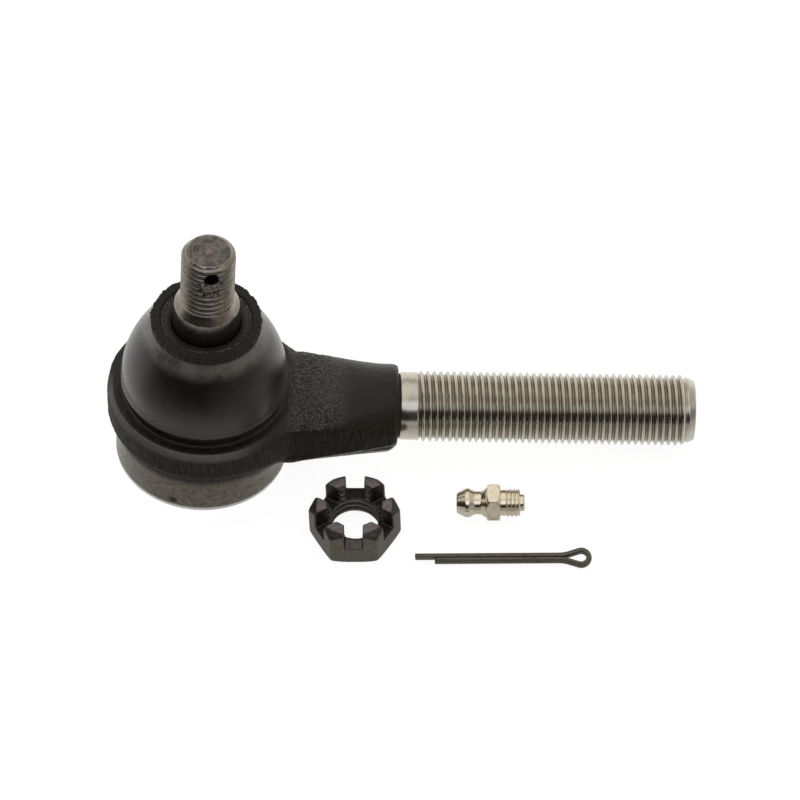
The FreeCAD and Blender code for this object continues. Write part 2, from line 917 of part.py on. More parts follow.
def make_cotter_pin():
    """Half-round wire bent double: two legs back to back, one longer, and an eye. X runs from legs to eye."""
    body = new_body("cotter_pin")
    line = pin_line(body)
    section = new_sketch(body, "wire_section", "YZ_Plane", {"z": "-1 * long_leg"})
    centre = FreeCAD.Vector(value_of("leg_gap"), 0, 0)
    circle = Part.Circle(centre, UP, value_of("pin_radius"))
    half = Part.ArcOfCircle(circle, -math.pi / 2, math.pi / 2)
    section.addGeometry(half)
    section.addGeometry(Part.LineSegment(half.EndPoint, half.StartPoint))
    section.addConstraint(Sketcher.Constraint("Coincident", 0, 2, 1, 1))
    section.addConstraint(Sketcher.Constraint("Coincident", 1, 2, 0, 1))
    section.addConstraint(Sketcher.Constraint("Vertical", 1))
    section.addConstraint(Sketcher.Constraint("PointOnObject", 0, 3, 1))
    pin_point(section, 0, 3, ("leg_gap", "0"))
    number = section.addConstraint(Sketcher.Constraint("Radius", 0, value_of("pin_radius")))
    section.setExpression(f"Constraints[{number}]", bound("pin_radius"))
    wire = body.newObject("PartDesign::AdditivePipe", "wire")
    wire.Profile = section
    wire.Spine = line
    return body


def resting_tilt():
    """How far the rod end tips, in degrees, until its shank's tip rests as well as the rim of its housing."""
    drop = value_of("base_depth - shank_thread_radius")
    return math.degrees(math.atan2(drop, value_of("shank_thread_end - base_radius + base_chamfer")))


def resting(place, height, turn=0.0):
    """The placement of a loose piece on the resting plane, its own Z square to that plane."""
    tilt = FreeCAD.Rotation(ACROSS, -resting_tilt())
    rim = FreeCAD.Vector(value_of("base_radius - base_chamfer"), 0, -value_of("base_depth"))
    square = tilt.multVec(UP)
    foot = square * rim.dot(square)
    base = foot + tilt.multVec(FreeCAD.Vector(*place, height))
    return FreeCAD.Placement(base, tilt * FreeCAD.Rotation(UP, turn))


def lying_fitting():
    """The fitting on one edge of its hexagon, with its nipple towards the housing."""
    lying = FreeCAD.Rotation(ACROSS, -90) * FreeCAD.Rotation(UP, FITTING_ROLL)
    height = value_of("hex_flats / sqrt(3)") * math.cos(math.radians(FITTING_ROLL)) + RESTING_GAP
    return resting(FITTING_PLACE, height, LOOSE_TURN) * FreeCAD.Placement(FreeCAD.Vector(), lying)


def lying_pin():
    """The pin on the tip of its legs and the edge of its eye, rolled a little towards its front."""
    roll = math.radians(PIN_ROLL)
    eye_height = value_of("pin_radius") + value_of("eye_radius") * math.sin(roll)
    pitch = math.asin(value_of("eye_radius") * math.sin(roll) / value_of("long_leg + eye_distance"))
    height = eye_height - value_of("eye_distance") * math.sin(pitch) + RESTING_GAP
    lying = FreeCAD.Rotation(ACROSS, -math.degrees(pitch)) * FreeCAD.Rotation(ALONG, PIN_ROLL)
    return resting(PIN_PLACE, height, LOOSE_TURN) * FreeCAD.Placement(FreeCAD.Vector(), lying)


def make_parts():
    """Every sub-part in its place. Those of the rod end are modelled where they are."""
    stud = make_ball_stud()
    stud.Placement = FreeCAD.Placement(FreeCAD.Vector(), FreeCAD.Rotation(UP, STUD_TURN))
    parts = [
        make_housing(),
        stud,
        make_upper_bearing(),
        make_lower_bearing(),
        make_disc_spring(),
        make_cover_plate(),
        make_boot_retaining_ring(),
        make_dust_boot(),
        make_boot_top_ring(),
    ]
    nut, pin = make_castle_nut(), make_cotter_pin()
    fitting, ball = make_grease_fitting_body(), make_grease_fitting_ball()
    spring = make_grease_fitting_spring()
    nut.Placement = resting(NUT_PLACE, RESTING_GAP, LOOSE_TURN)
    pin.Placement = lying_pin()
    fitting.Placement = lying_fitting()
    seat = FreeCAD.Vector(0, 0, value_of("fitting_length - check_ball_drop"))
    ball.Placement = lying_fitting() * FreeCAD.Placement(seat, FreeCAD.Rotation())
    coil_foot = FreeCAD.Vector(0, 0, value_of("check_spring_low + check_spring_wire"))
    spring.Placement = lying_fitting() * FreeCAD.Placement(coil_foot, FreeCAD.Rotation())
    return parts + [nut, pin, fitting, ball, spring]


def check_and_write(parts):
    """Stops on anything that failed, then writes one STEP file for each sub-part."""
    doc.recompute()
    for item in doc.Objects:
        if {"Invalid", "Error"} & set(item.State):
            raise ValueError(f"{item.Label} failed: {item.State}")
    for part in parts:
        if part.Shape.isNull() or not part.Shape.isValid() or not part.Shape.Solids:
            raise ValueError(f"{part.Label} has no valid solid")
    os.makedirs("parts", exist_ok=True)
    for part in parts:
        part.Shape.exportStep(f"parts/{part.Label}.step")


fill_sheet()
check_and_write(make_parts())
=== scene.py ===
"""Visual model of the tie rod end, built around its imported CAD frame. Shapes are worked out in millimetres in
the row frame (origin at the ball's centre, +X along the shank, +Z along the stud) and stored in metres."""

import math

import bmesh
import bpy
import numpy as np
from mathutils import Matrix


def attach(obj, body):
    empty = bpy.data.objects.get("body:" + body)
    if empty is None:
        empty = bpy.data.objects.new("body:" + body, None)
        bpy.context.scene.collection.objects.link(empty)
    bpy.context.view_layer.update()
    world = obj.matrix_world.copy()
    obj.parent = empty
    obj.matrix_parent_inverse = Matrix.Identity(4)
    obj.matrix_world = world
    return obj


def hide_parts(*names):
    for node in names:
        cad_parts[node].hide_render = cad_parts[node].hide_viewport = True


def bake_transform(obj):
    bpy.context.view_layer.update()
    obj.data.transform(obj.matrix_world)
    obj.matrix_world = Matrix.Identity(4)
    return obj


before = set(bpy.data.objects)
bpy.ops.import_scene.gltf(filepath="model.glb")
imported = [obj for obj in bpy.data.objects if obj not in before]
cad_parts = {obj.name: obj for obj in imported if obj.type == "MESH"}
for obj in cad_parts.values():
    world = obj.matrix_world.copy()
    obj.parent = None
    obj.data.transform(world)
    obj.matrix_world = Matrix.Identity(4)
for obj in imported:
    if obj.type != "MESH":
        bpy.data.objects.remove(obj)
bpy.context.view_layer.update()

import openvdb
from mathutils import Matrix, Vector, noise

MM = 0.001
PITCH = 1.5
THREAD_DEPTH = 0.92
# One turn of a thread: (place within the pitch, height between root and crest)
THREAD_SHAPE = (
    (0.0, 0.0), (0.07, 0.02), (0.16, 0.25), (0.4375, 1.0),
    (0.5, 1.0), (0.5625, 1.0), (0.84, 0.25), (0.93, 0.02),
)

# Places of the loose pieces on the resting plane, along the rod and across it, as in the CAD
NUT_PLACE = (33.3, -25.7)
FITTING_PLACE = (71.4, -22.5)
PIN_PLACE = (78.5, -36.52)
TABLE_GAP = 0.02
LOOSE_TURN = math.radians(-2.5)
PIN_ROLL = math.radians(20.0)
FITTING_ROLL = math.radians(22.2)
# Where the rod end touches the table: the socket's rim and the shank's last crest
RIM_POINT = Vector((18.9, 0, -14.8))
SHANK_POINT = Vector((107.7, 0, -8.0))
# Middle of the nick in the socket's lower wall
NICK = Vector((-6.4, -18.3, -12.3))


# ---------------------------------------------------------------- the plane that the rod end rests on


def resting_plane():
    """The matrix, in mm, that takes a flat table's coordinates to the leaning resting plane."""
    along = (SHANK_POINT - RIM_POINT).normalized()
    square = Vector((-along.z, 0, along.x))
    foot = square * RIM_POINT.dot(square)
    turn = Matrix((along, Vector((0, 1, 0)), square)).transposed().to_4x4()
    return Matrix.Translation(foot) @ turn


RESTING = resting_plane()


def in_metres(matrix):
    """The same placement with its shift in metres."""
    moved = matrix.copy()
    moved.translation = matrix.translation * MM
    return moved


# ---------------------------------------------------------------- mesh helpers


def finish_piece(name, mesh, look, body, replaced=(), place=None):
    """Makes the object and gives it its look; ties it to its CAD body when body is one name, or else bakes its
    placement into the mesh.
    """
    mesh.materials.append(look)
    piece = bpy.data.objects.new(name, mesh)
    bpy.context.scene.collection.objects.link(piece)
    if place is not None:
        piece.matrix_world = in_metres(place)
    if isinstance(body, str):
        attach(piece, body)
    else:
        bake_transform(piece)
    if replaced:
        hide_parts(*replaced)


def mesh_of(name, points, faces):
    """A smooth-shaded mesh in metres from points in mm: doubled points merged, faces turned outwards."""
    mesh = bpy.data.meshes.new(name)
    mesh.from_pydata([tuple(p) for p in np.asarray(points) * MM], [], [tuple(f) for f in faces])
    work = bmesh.new()
    work.from_mesh(mesh)
    bmesh.ops.remove_doubles(work, verts=work.verts, dist=2e-6)
    bmesh.ops.dissolve_degenerate(work, edges=work.edges, dist=1e-6)
    bmesh.ops.recalc_face_normals(work, faces=work.faces)
    work.to_mesh(mesh)
    work.free()
    mesh.shade_smooth()
    return mesh


def field_mesh(name, field, low, high, voxel):
    """The mesh of a field's zero surface. The field takes x, y and z in mm and is below zero in the solid."""
    axes = [np.arange(a, b + voxel, voxel, dtype=np.float32) for a, b in zip(low, high)]
    values = field(*np.meshgrid(*axes, indexing="ij")).astype(np.float32)
    grid = openvdb.FloatGrid(float(values.max()))
    grid.copyFromArray(values)
    points, quads = grid.convertToQuads(0.0)
    return mesh_of(name, points * voxel + np.array(low), quads[:, ::-1])


def displaced(mesh, amount):
    """Moves each point along its normal by amount(point, normal), both in mm."""
    count = len(mesh.vertices)
    points, normals = np.empty(count * 3), np.empty(count * 3)
    mesh.vertices.foreach_get("co", points)
    mesh.vertex_normals.foreach_get("vector", normals)
    points, normals = points.reshape(-1, 3) / MM, normals.reshape(-1, 3)
    moves = np.array([amount(Vector(p), Vector(n)) for p, n in zip(points, normals)])
    mesh.vertices.foreach_set("co", ((points + normals * moves[:, None]) * MM).ravel())
    mesh.update()
    return mesh


def step(value, low, high):
    """A smooth step from 0 at low to 1 at high, for numbers and arrays."""
    share = np.clip((value - low) / (high - low), 0.0, 1.0)
    return share * share * (3 - 2 * share)


def smooth_max(a, b, k):
    """The larger of two fields, with the edge where they meet rounded over about k mm."""
    near = np.maximum(k - np.abs(a - b), 0.0) / k
    return np.maximum(a, b) + near * near * k * 0.25


def smooth_min(a, b, k):
    """The smaller of two fields, with the corner where they meet filled over about k mm."""
    return -smooth_max(-a, -b, k)


def rounded(corners, arc_steps=6):
    """A closed or open outline as points, each corner (x, y, radius) rounded to its radius."""
    path = []
    last = len(corners) - 1
    for index, (x, y, radius) in enumerate(corners):
        here = Vector((x, y))
        if radius == 0 or index in (0, last):
            path.append((x, y))
            continue
        before = Vector(corners[index - 1][:2]) - here
        after = Vector(corners[index + 1][:2]) - here
        half = before.angle(after) / 2
        reach = min(radius / math.tan(half), before.length * 0.49, after.length * 0.49)
        start, end = before.normalized() * reach, after.normalized() * reach
        for share in np.linspace(0, 1, arc_steps + 1):
            bend = start * (1 - share) ** 2 + end * share**2
            path.append(tuple(here + bend))
    return path


def curve(*handles):
    """Points on a cubic Bezier curve."""
    shares = np.linspace(0, 1, 40)[:, None]
    weights = ((1 - shares) ** 3, 3 * shares * (1 - shares) ** 2, 3 * shares**2 * (1 - shares), shares**3)
    return [tuple(p) for p in sum(w * np.array(h) for w, h in zip(weights, handles))]


def dense(path, gap=0.4):
    """The same path with no two points further apart than gap."""
    points = [path[0]]
    for a, b in zip(path, path[1:]):
        count = max(1, math.ceil(math.hypot(b[0] - a[0], b[1] - a[1]) / gap))
        points += [tuple(np.array(a) + (np.array(b) - np.array(a)) * (i + 1) / count) for i in range(count)]
    return points


def outline_distance(path, x, y):
    """Signed distance, below zero inside, from each (x, y) to a closed outline."""
    best = np.full(np.shape(x), 1e9)
    inside = np.zeros(np.shape(x), bool)
    for (ax, ay), (bx, by) in zip(path, path[1:] + path[:1]):
        ex, ey = bx - ax, by - ay
        length = ex * ex + ey * ey
        if length == 0:
            continue
        share = np.clip(((x - ax) * ex + (y - ay) * ey) / length, 0, 1)
        best = np.minimum(best, np.hypot(x - ax - share * ex, y - ay - share * ey))
        if ay != by:
            crosses = (ay > y) != (by > y)
            inside ^= crosses & (x < ax + (y - ay) * ex / ey)
    return np.where(inside, -best, best)


class LatheTable:
    """Signed distance to a turned shape, looked up by radius and height."""

    def __init__(self, path, low, high, grain=0.1):
        self.low, self.grain = low, grain
        self.radii = np.arange(0, high[0] + grain, grain)
        self.heights = np.arange(low, high[1] + grain, grain)
        self.table = outline_distance(path, *np.meshgrid(self.radii, self.heights, indexing="ij"))

    def at(self, radius, height):
        across = np.clip(radius / self.grain, 0, len(self.radii) - 1.001)
        up = np.clip((height - self.low) / self.grain, 0, len(self.heights) - 1.001)
        i, j = across.astype(int), up.astype(int)
        s, t = across - i, up - j
        table = self.table
        below = table[i, j] * (1 - s) + table[i + 1, j] * s
        above = table[i, j + 1] * (1 - s) + table[i + 1, j + 1] * s
        return below * (1 - t) + above * t


def lathe(name, rows, segments, axis="Z"):
    """A turned mesh. Each row is a (radius, height) pair of numbers or of arrays over the angles."""
    angles = np.linspace(0, 2 * math.pi, segments + 1)
    radii = np.array([np.broadcast_to(r, angles.shape) for r, _ in rows])
    heights = np.array([np.broadcast_to(h, angles.shape) for _, h in rows])
    across, up = radii * np.cos(angles), radii * np.sin(angles)
    parts = (across, up, heights) if axis == "Z" else (heights, across, up)
    points = np.stack(parts, axis=-1).reshape(-1, 3)
    width = segments + 1
    faces = [
        (k * width + j, k * width + j + 1, (k + 1) * width + j + 1, (k + 1) * width + j)
        for k in range(len(rows) - 1)
        for j in range(segments)
    ]
    return mesh_of(name, points, faces)


def helical_rows(start, end, segments, radius_at, pitch=PITCH):
    """Rows that follow a right-hand thread from start to end. radius_at(height, angle, shape) is its radius."""
    angles = np.linspace(0, 2 * math.pi, segments + 1)
    rows = []
    for turn in range(-1, math.ceil((end - start) / pitch) + 1):
        for place, shape in THREAD_SHAPE:
            height = np.clip(start + (turn + place + angles / (2 * math.pi)) * pitch, start, end)
            rows.append((radius_at(height, angles, shape), height))
    return rows


# ---------------------------------------------------------------- materials


class Look:
    """A procedural material: one Principled shader and short ways to feed its sockets."""

    def __init__(self, name, **sockets):
        self.material = bpy.data.materials.new(name)
        self.material.use_nodes = True
        self.tree = self.material.node_tree
        self.shader = self.tree.nodes["Principled BSDF"]
        for socket, value in sockets.items():
            self.shader.inputs[socket.replace("_", " ")].default_value = value
        self.place = self.add("ShaderNodeVectorMath", "Vector", operation="SCALE")
        self.feed(self.place.node.inputs[0], self.add("ShaderNodeTexCoord", "Object"))
        self.place.node.inputs["Scale"].default_value = 1000

    def feed(self, socket, value):
        if isinstance(value, bpy.types.NodeSocket):
            self.tree.links.new(value, socket)
        else:
            socket.default_value = value

    def add(self, kind, output, inputs=(), **settings):
        node = self.tree.nodes.new(kind)
        for key, value in settings.items():
            setattr(node, key, value)
        for key, value in dict(inputs).items():
            self.feed(node.inputs[key], value)
        return node.outputs[output]

    def math(self, operation, a, b=0.0):
        return self.add("ShaderNodeMath", 0, {0: a, 1: b}, operation=operation)

    def product(self, first, *others):
        """All the values multiplied together."""
        for value in others:
            first = self.math("MULTIPLY", first, value)
        return first

    def stretched(self, x, y, z):
        return self.add("ShaderNodeMapping", 0, {"Vector": self.place, "Scale": (x, y, z)})

    def noise(self, scale, detail=3.0, roughness=0.5, vector=None):
        inputs = {"Vector": vector or self.place, "Scale": scale, "Detail": detail, "Roughness": roughness}
        return self.add("ShaderNodeTexNoise", "Fac", inputs)

    def part(self, axis, of=None):
        """One coordinate of the place in mm, or of another texture coordinate."""
        source = self.add("ShaderNodeTexCoord", of) if of else self.place
        return self.add("ShaderNodeSeparateXYZ", axis, {0: source})

    def radius(self, first="X", second="Y"):
        """Distance in mm from the axis square to two coordinates."""
        squares = [self.math("POWER", self.part(axis), 2.0) for axis in (first, second)]
        return self.math("SQRT", self.math("ADD", *squares))

    def ramp(self, value, low, high, to_low=0.0, to_high=1.0):
        inputs = {"Value": value, "From Min": low, "From Max": high, "To Min": to_low, "To Max": to_high}
        return self.add("ShaderNodeMapRange", 0, inputs, interpolation_type="SMOOTHSTEP")

    def rings(self, value, gap):
        """A wave from -1 to 1 that repeats every gap mm."""
        return self.math("SINE", self.math("MULTIPLY", value, 2 * math.pi / gap))

    def mix(self, share, low, high):
        mixed = self.add("ShaderNodeMix", 2, {0: share}, data_type="RGBA")
        self.feed(mixed.node.inputs[6], low)
        self.feed(mixed.node.inputs[7], high)
        return mixed

    def bump(self, height, depth, normal=None, strength=1.0):
        """A normal that follows a height from 0 to 1, depth mm deep."""
        inputs = {"Height": height, "Distance": depth * MM, "Strength": strength}
        if normal is not None:
            inputs["Normal"] = normal
        return self.add("ShaderNodeBump", 0, inputs)

    def finish(self, colour=None, roughness=None, normal=None, metallic=None):
        wanted = {"Base Color": colour, "Roughness": roughness, "Normal": normal, "Metallic": metallic}
        for socket, value in wanted.items():
            if value is not None:
                self.feed(self.shader.inputs[socket], value)
        return self.material


def grey(value, warmth=0.0):
    """A grey, warmer towards red as warmth grows."""
    return (value * (1 + warmth), value, value * (1 - warmth), 1.0)


def black_forging():
    """Satin black paint over a rough forged skin, thin on the lower wall and bare at the crimped edge. Painted
    shade below the belt and in the nick, a painted highlight on the front of the worn bevel, painted glints on
    the pitted patch and a painted floor reflection on the arm's lower edge.
    """
    look = Look("black_forging", IOR=1.58, Specular_IOR_Level=0.28, Specular_Tint=(1.0, 0.95, 0.86, 1))
    along, across, height = look.part("X"), look.part("Y"), look.part("Z")
    up = look.part("Z", "Normal")
    facing, radius = look.math("ABSOLUTE", up), look.radius()
    scale = look.noise(0.9, 6.0, 0.65)
    grain = look.noise(6.0, 4.0, 0.6)
    coarse = look.noise(2.2, 5.0, 0.7)
    streaks = look.noise(1.0, 5.0, 0.65, look.stretched(3.0, 3.0, 0.3))

    # Shares of the surface, from 0 to 1
    # The lower wall's thin, paler paint; its slow fade just below the belt is painted shade under the belt's
    # overhang.
    lower = look.ramp(height, -4.2, -6.8)
    upright = look.ramp(facing, 0.8, 0.5)
    trimmed = look.product(upright, look.math("SUBTRACT", 1.0, lower), look.ramp(radius, 18.4, 19.0))
    patch = look.product(look.ramp(along, 18.0, 21.0), look.ramp(along, 34.0, 26.0))
    edge = look.ramp(height, -13.6, -13.8)
    nick = look.add("ShaderNodeVectorMath", "Value", {0: look.place, 1: NICK}, operation="DISTANCE")
    # The bevel's band: paint worn bare, with a painted highlight on its front only.
    bevel = look.product(look.ramp(radius, 20.2, 20.5), look.ramp(radius, 22.2, 21.8))
    in_front = look.product(look.ramp(along, 15.0, 5.0), look.ramp(across, 6.0, -2.0))
    bevel = look.product(bevel, look.ramp(height, 4.2, 4.5), in_front)
    # Painted glints: light dots on the upward-facing parts of the pitted patch.
    painted_glints = look.product(look.ramp(grain, 0.54, 0.60), patch, look.ramp(up, 0.3, 0.7))
    # Painted reflection: the arm's downward-facing lower edge made light grey, as the white floor would light
    # it.
    lower_edge_reflection = look.product(look.ramp(up, -0.15, -0.4), look.ramp(along, 19.0, 22.0))

    paint = look.mix(look.ramp(scale, 0.35, 0.7), grey(0.005, 0.1), grey(0.012, 0.1))
    worn = look.mix(look.ramp(streaks, 0.42, 0.66), (0.003, 0.003, 0.002, 1), (0.048, 0.033, 0.022, 1))
    thin = look.mix(look.ramp(scale, 0.3, 0.7), (0.080, 0.070, 0.050, 1), (0.205, 0.182, 0.138, 1))
    colour = look.mix(look.product(trimmed, 0.8), paint, worn)
    colour = look.mix(lower, colour, thin)
    # Painted shade: the nick's dent darkened.
    colour = look.mix(look.ramp(nick, 1.3, 0.5, 0.0, 0.9), colour, grey(0.01, 0.1))
    colour = look.mix(edge, colour, grey(0.65, 0.03))
    # Painted highlight: the front of the bevel made lighter, over its worn paint.
    colour = look.mix(look.product(bevel, look.ramp(coarse, 0.2, 0.7, 0.7, 1.0)), colour, grey(0.11, 0.08))
    # Painted glints on the pitted patch.
    colour = look.mix(painted_glints, colour, grey(0.4, 0.05))
    # Painted floor reflection on the arm's lower edge.
    colour = look.mix(look.product(lower_edge_reflection, look.ramp(coarse, 0.3, 0.6, 0.5, 1.0)), colour, grey(0.36, 0.06))

    roughness = look.math("ADD", look.ramp(scale, 0.3, 0.75, 0.28, 0.42), look.product(trimmed, 0.4))
    normal = look.bump(scale, 0.18)
    normal = look.bump(grain, 0.055, normal)
    normal = look.bump(look.product(coarse, patch), 0.8, normal)
    bare = look.math("MAXIMUM", edge, look.product(bevel, 0.85))
    return look.finish(colour, roughness, normal, bare)


def turned_steel(name, shade, warmth, roughness):
    """Clean machined steel."""
    look = Look(name, Metallic=1.0)
    patches = look.noise(0.35, 4.0, 0.6)
    grain = look.noise(9.0, 3.0, 0.6)
    colour = look.mix(look.ramp(patches, 0.3, 0.75), grey(shade * 0.86, warmth), grey(shade * 1.08, warmth))
    rough = look.ramp(grain, 0.2, 0.8, roughness * 0.8, roughness * 1.25)
    return look.finish(colour, rough, look.bump(grain, 0.004))


def shank_steel():
    """Bright turned steel with painted shade in the thread roots and fine tool lines round the shank."""
    look = Look("shank_steel", Metallic=1.0)
    along, radius = look.part("X"), look.radius("Y", "Z")
    lines = look.rings(along, 0.2)
    patches = look.noise(0.35, 4.0, 0.6)
    grain = look.noise(9.0, 3.0, 0.6)
    bright = look.mix(look.ramp(patches, 0.3, 0.75), (0.52, 0.485, 0.41, 1), (0.62, 0.585, 0.51, 1))
    # Painted shade: darker colour in the thread roots.
    roots = look.mix(look.ramp(patches, 0.3, 0.75), (0.29, 0.265, 0.215, 1), (0.40, 0.37, 0.31, 1))
    threaded = look.product(look.ramp(along, 48.0, 48.6), look.ramp(along, 108.4, 107.6))
    colour = look.mix(look.product(threaded, look.ramp(radius, 7.8, 7.35)), bright, roots)
    rough = look.ramp(grain, 0.2, 0.8, 0.15, 0.26)
    normal = look.bump(look.product(lines, 0.5), 0.002)
    return look.finish(colour, rough, look.bump(grain, 0.004, normal))


def stud_steel():
    """Greyed steel: rolled thread, swirls on the top face, patches of brown film, painted shade in the thread
    roots and at the flare's foot, and a painted dark reflection on the top face.
    """
    look = Look("stud_steel_look", Metallic=1.0, Anisotropic=0.4)
    z, radius = look.part("Z"), look.radius()
    swirl = look.rings(radius, 0.8)
    patches = look.noise(0.5, 5.0, 0.65)
    grain = look.noise(7.0, 4.0, 0.6)
    film = look.product(look.ramp(patches, 0.40, 0.62), 0.8)
    colour = look.mix(film, grey(0.28, 0.11), grey(0.165, 0.17))
    # Painted shade: darker colour in the thread roots.
    roots = look.product(look.ramp(radius, 5.75, 5.4), look.ramp(z, 50.0, 49.5), 0.85)
    colour = look.mix(roots, colour, grey(0.06, 0.2))
    # Painted shade: brown darkening at the flare's foot, where it goes down into the boot.
    shade = look.ramp(z, 33.6, 27.5, 0.0, 0.9)
    colour = look.mix(shade, colour, (0.085, 0.058, 0.042, 1))
    rough = look.ramp(grain, 0.25, 0.75, 0.2, 0.36)
    top = look.ramp(z, 50.7, 50.85)
    # Painted reflection: the top face darkened for the dark surroundings it mirrors.
    top_dark_reflection = look.mix(look.ramp(look.noise(0.7, 4.0, 0.6), 0.4, 0.65), grey(0.16, 0.08), grey(0.06, 0.08))
    colour = look.mix(look.product(top, 0.85), colour, top_dark_reflection)
    normal = look.bump(look.product(swirl, top), 0.03)
    normal = look.bump(grain, 0.012, normal)
    return look.finish(colour, rough, normal)


def boot_rubber():
    """Moulded black rubber: satin, with a painted highlight band broken by scuffs under the rim, dust at the
    lip that also stands as a painted reflection, and rough on the rim.
    """
    warm = (1.0, 0.97, 0.9, 1)
    look = Look("moulded_rubber", IOR=1.5, Sheen_Weight=0.08, Sheen_Roughness=0.3, Specular_Tint=warm)
    bloom = look.noise(0.25, 5.0, 0.6)
    grain = look.noise(3.5, 5.0, 0.65)
    fine = look.noise(14.0, 2.0, 0.5)
    height = look.part("Z")
    rim = look.ramp(height, 26.4, 27.2)
    # Painted highlight: a paler band under the rim, broken up by scuffs.
    under_rim_highlight_and_scuffs = look.product(look.ramp(height, 22.6, 25.6), look.math("SUBTRACT", 1.0, rim))
    under_rim_highlight_and_scuffs = look.product(under_rim_highlight_and_scuffs, look.ramp(bloom, 0.3, 0.6, 0.35, 1.0))
    # Dust near the lip, made lighter to serve also as a painted reflection.
    lip_dust_and_reflection = look.product(look.ramp(height, 17.0, 11.5), look.ramp(grain, 0.35, 0.65, 0.4, 1.0))
    colour = look.mix(look.ramp(bloom, 0.35, 0.7), grey(0.006, 0.1), grey(0.013, 0.12))
    colour = look.mix(under_rim_highlight_and_scuffs, colour, grey(0.13, 0.1))
    colour = look.mix(lip_dust_and_reflection, colour, grey(0.052, 0.1))
    colour = look.mix(rim, colour, grey(0.003))
    rough = look.math("ADD", look.ramp(grain, 0.25, 0.75, 0.17, 0.27), look.product(rim, 0.45))
    normal = look.bump(grain, 0.035)
    normal = look.bump(fine, 0.008, normal)
    normal = look.bump(look.product(look.noise(2.4, 4.0, 0.7), rim), 0.3, normal)
    return look.finish(colour, rough, normal)


def ring_rubber():
    """Hard black rubber with scuffed, paler flecks towards its outer edge."""
    look = Look("ring_rubber_look", IOR=1.45)
    flecks = look.noise(2.6, 4.0, 0.7)
    at_edge = look.ramp(look.radius(), 9.2, 9.8)
    scuff = look.product(look.ramp(flecks, 0.54, 0.64), at_edge)
    grain = look.noise(5.0, 5.0, 0.65)
    colour = look.mix(look.ramp(grain, 0.35, 0.7), grey(0.012, 0.03), grey(0.028, 0.05))
    colour = look.mix(scuff, colour, grey(0.36, 0.04))
    rough = look.ramp(grain, 0.3, 0.7, 0.38, 0.56)
    return look.finish(colour, rough, look.bump(grain, 0.04))


def phosphated_nut():
    """Dark phosphate: olive grey drawn flats, pinker faces on top, painted shade in the slots, deepest in the
    rear ones, and worn crests.
    """
    look = Look("nut_phosphate_look", Metallic=0.55)
    z, across, radius = look.part("Z"), look.part("Y"), look.radius()
    up = look.part("Z", "Normal")
    drawn = look.noise(1.6, 5.0, 0.65, look.stretched(3.0, 3.0, 0.4))
    mottle = look.noise(1.2, 5.0, 0.65)
    grain = look.noise(8.0, 4.0, 0.6)
    flats = look.mix(look.ramp(drawn, 0.3, 0.72), (0.095, 0.09, 0.066, 1), (0.185, 0.172, 0.13, 1))
    faces = look.mix(look.ramp(mottle, 0.35, 0.7), (0.14, 0.115, 0.105, 1), (0.25, 0.205, 0.19, 1))
    cone = look.mix(look.ramp(mottle, 0.35, 0.7), (0.030, 0.027, 0.025, 1), (0.075, 0.07, 0.063, 1))
    slot_shade = look.mix(look.ramp(mottle, 0.35, 0.7), (0.016, 0.011, 0.009, 1), (0.05, 0.036, 0.03, 1))
    flat_up = look.ramp(up, 0.9, 0.97)
    tilted = look.product(look.ramp(up, 0.25, 0.45), look.math("SUBTRACT", 1.0, flat_up))
    # Painted shade: the slot walls darkened.
    colour = look.mix(look.ramp(radius, 8.95, 8.7), flats, slot_shade)
    colour = look.mix(tilted, colour, cone)
    # Painted shade: the slot floors darkened, less so in the front slot.
    dark = look.product(look.ramp(z, 5.2, 4.8), look.ramp(across, -6.6, -5.2, 0.35, 1.0))
    colour = look.mix(flat_up, colour, look.mix(dark, faces, slot_shade))
    rough = look.ramp(grain, 0.3, 0.7, 0.36, 0.52)
    colour = look.mix(look.ramp(radius, 5.5, 5.3), colour, (0.17, 0.135, 0.115, 1))
    normal = look.bump(drawn, 0.01)
    return look.finish(colour, rough, look.bump(grain, 0.012, normal))


def pin_steel():
    """Dull dark wire with drawing lines along it."""
    look = Look("pin_steel_look", Metallic=0.7)
    drawn = look.noise(2.0, 5.0, 0.65, look.stretched(0.25, 4.0, 4.0))
    mottle = look.noise(1.0, 4.0, 0.6)
    colour = look.mix(look.ramp(drawn, 0.3, 0.72), (0.10, 0.09, 0.065, 1), (0.19, 0.17, 0.135, 1))
    colour = look.mix(look.ramp(mottle, 0.55, 0.75), colour, (0.07, 0.06, 0.05, 1))
    rough = look.ramp(mottle, 0.3, 0.7, 0.38, 0.5)
    return look.finish(colour, rough, look.bump(drawn, 0.02))


def nickel_plating():
    """Bright, slightly golden plating over turned brass or steel."""
    look = Look("nickel_plating", Metallic=1.0)
    patches = look.noise(0.9, 4.0, 0.6)
    grain = look.noise(10.0, 3.0, 0.55)
    colour = look.mix(look.ramp(patches, 0.3, 0.7), (0.74, 0.65, 0.49, 1), (0.88, 0.80, 0.64, 1))
    rough = look.ramp(grain, 0.25, 0.75, 0.13, 0.24)
    return look.finish(colour, rough, look.bump(grain, 0.004))


def plated_cover():
    """Zinc-plated pressed steel with faint drawing rings and patchy stains."""
    look = Look("plated_cover", Metallic=1.0)
    rings = look.rings(look.radius(), 0.6)
    stain = look.noise(0.5, 5.0, 0.65)
    colour = look.mix(look.ramp(stain, 0.35, 0.7), grey(0.42, 0.05), grey(0.6, 0.03))
    rough = look.ramp(stain, 0.3, 0.7, 0.28, 0.42)
    return look.finish(colour, rough, look.bump(look.noise(5.0, 4.0), 0.01, look.bump(rings, 0.004)))


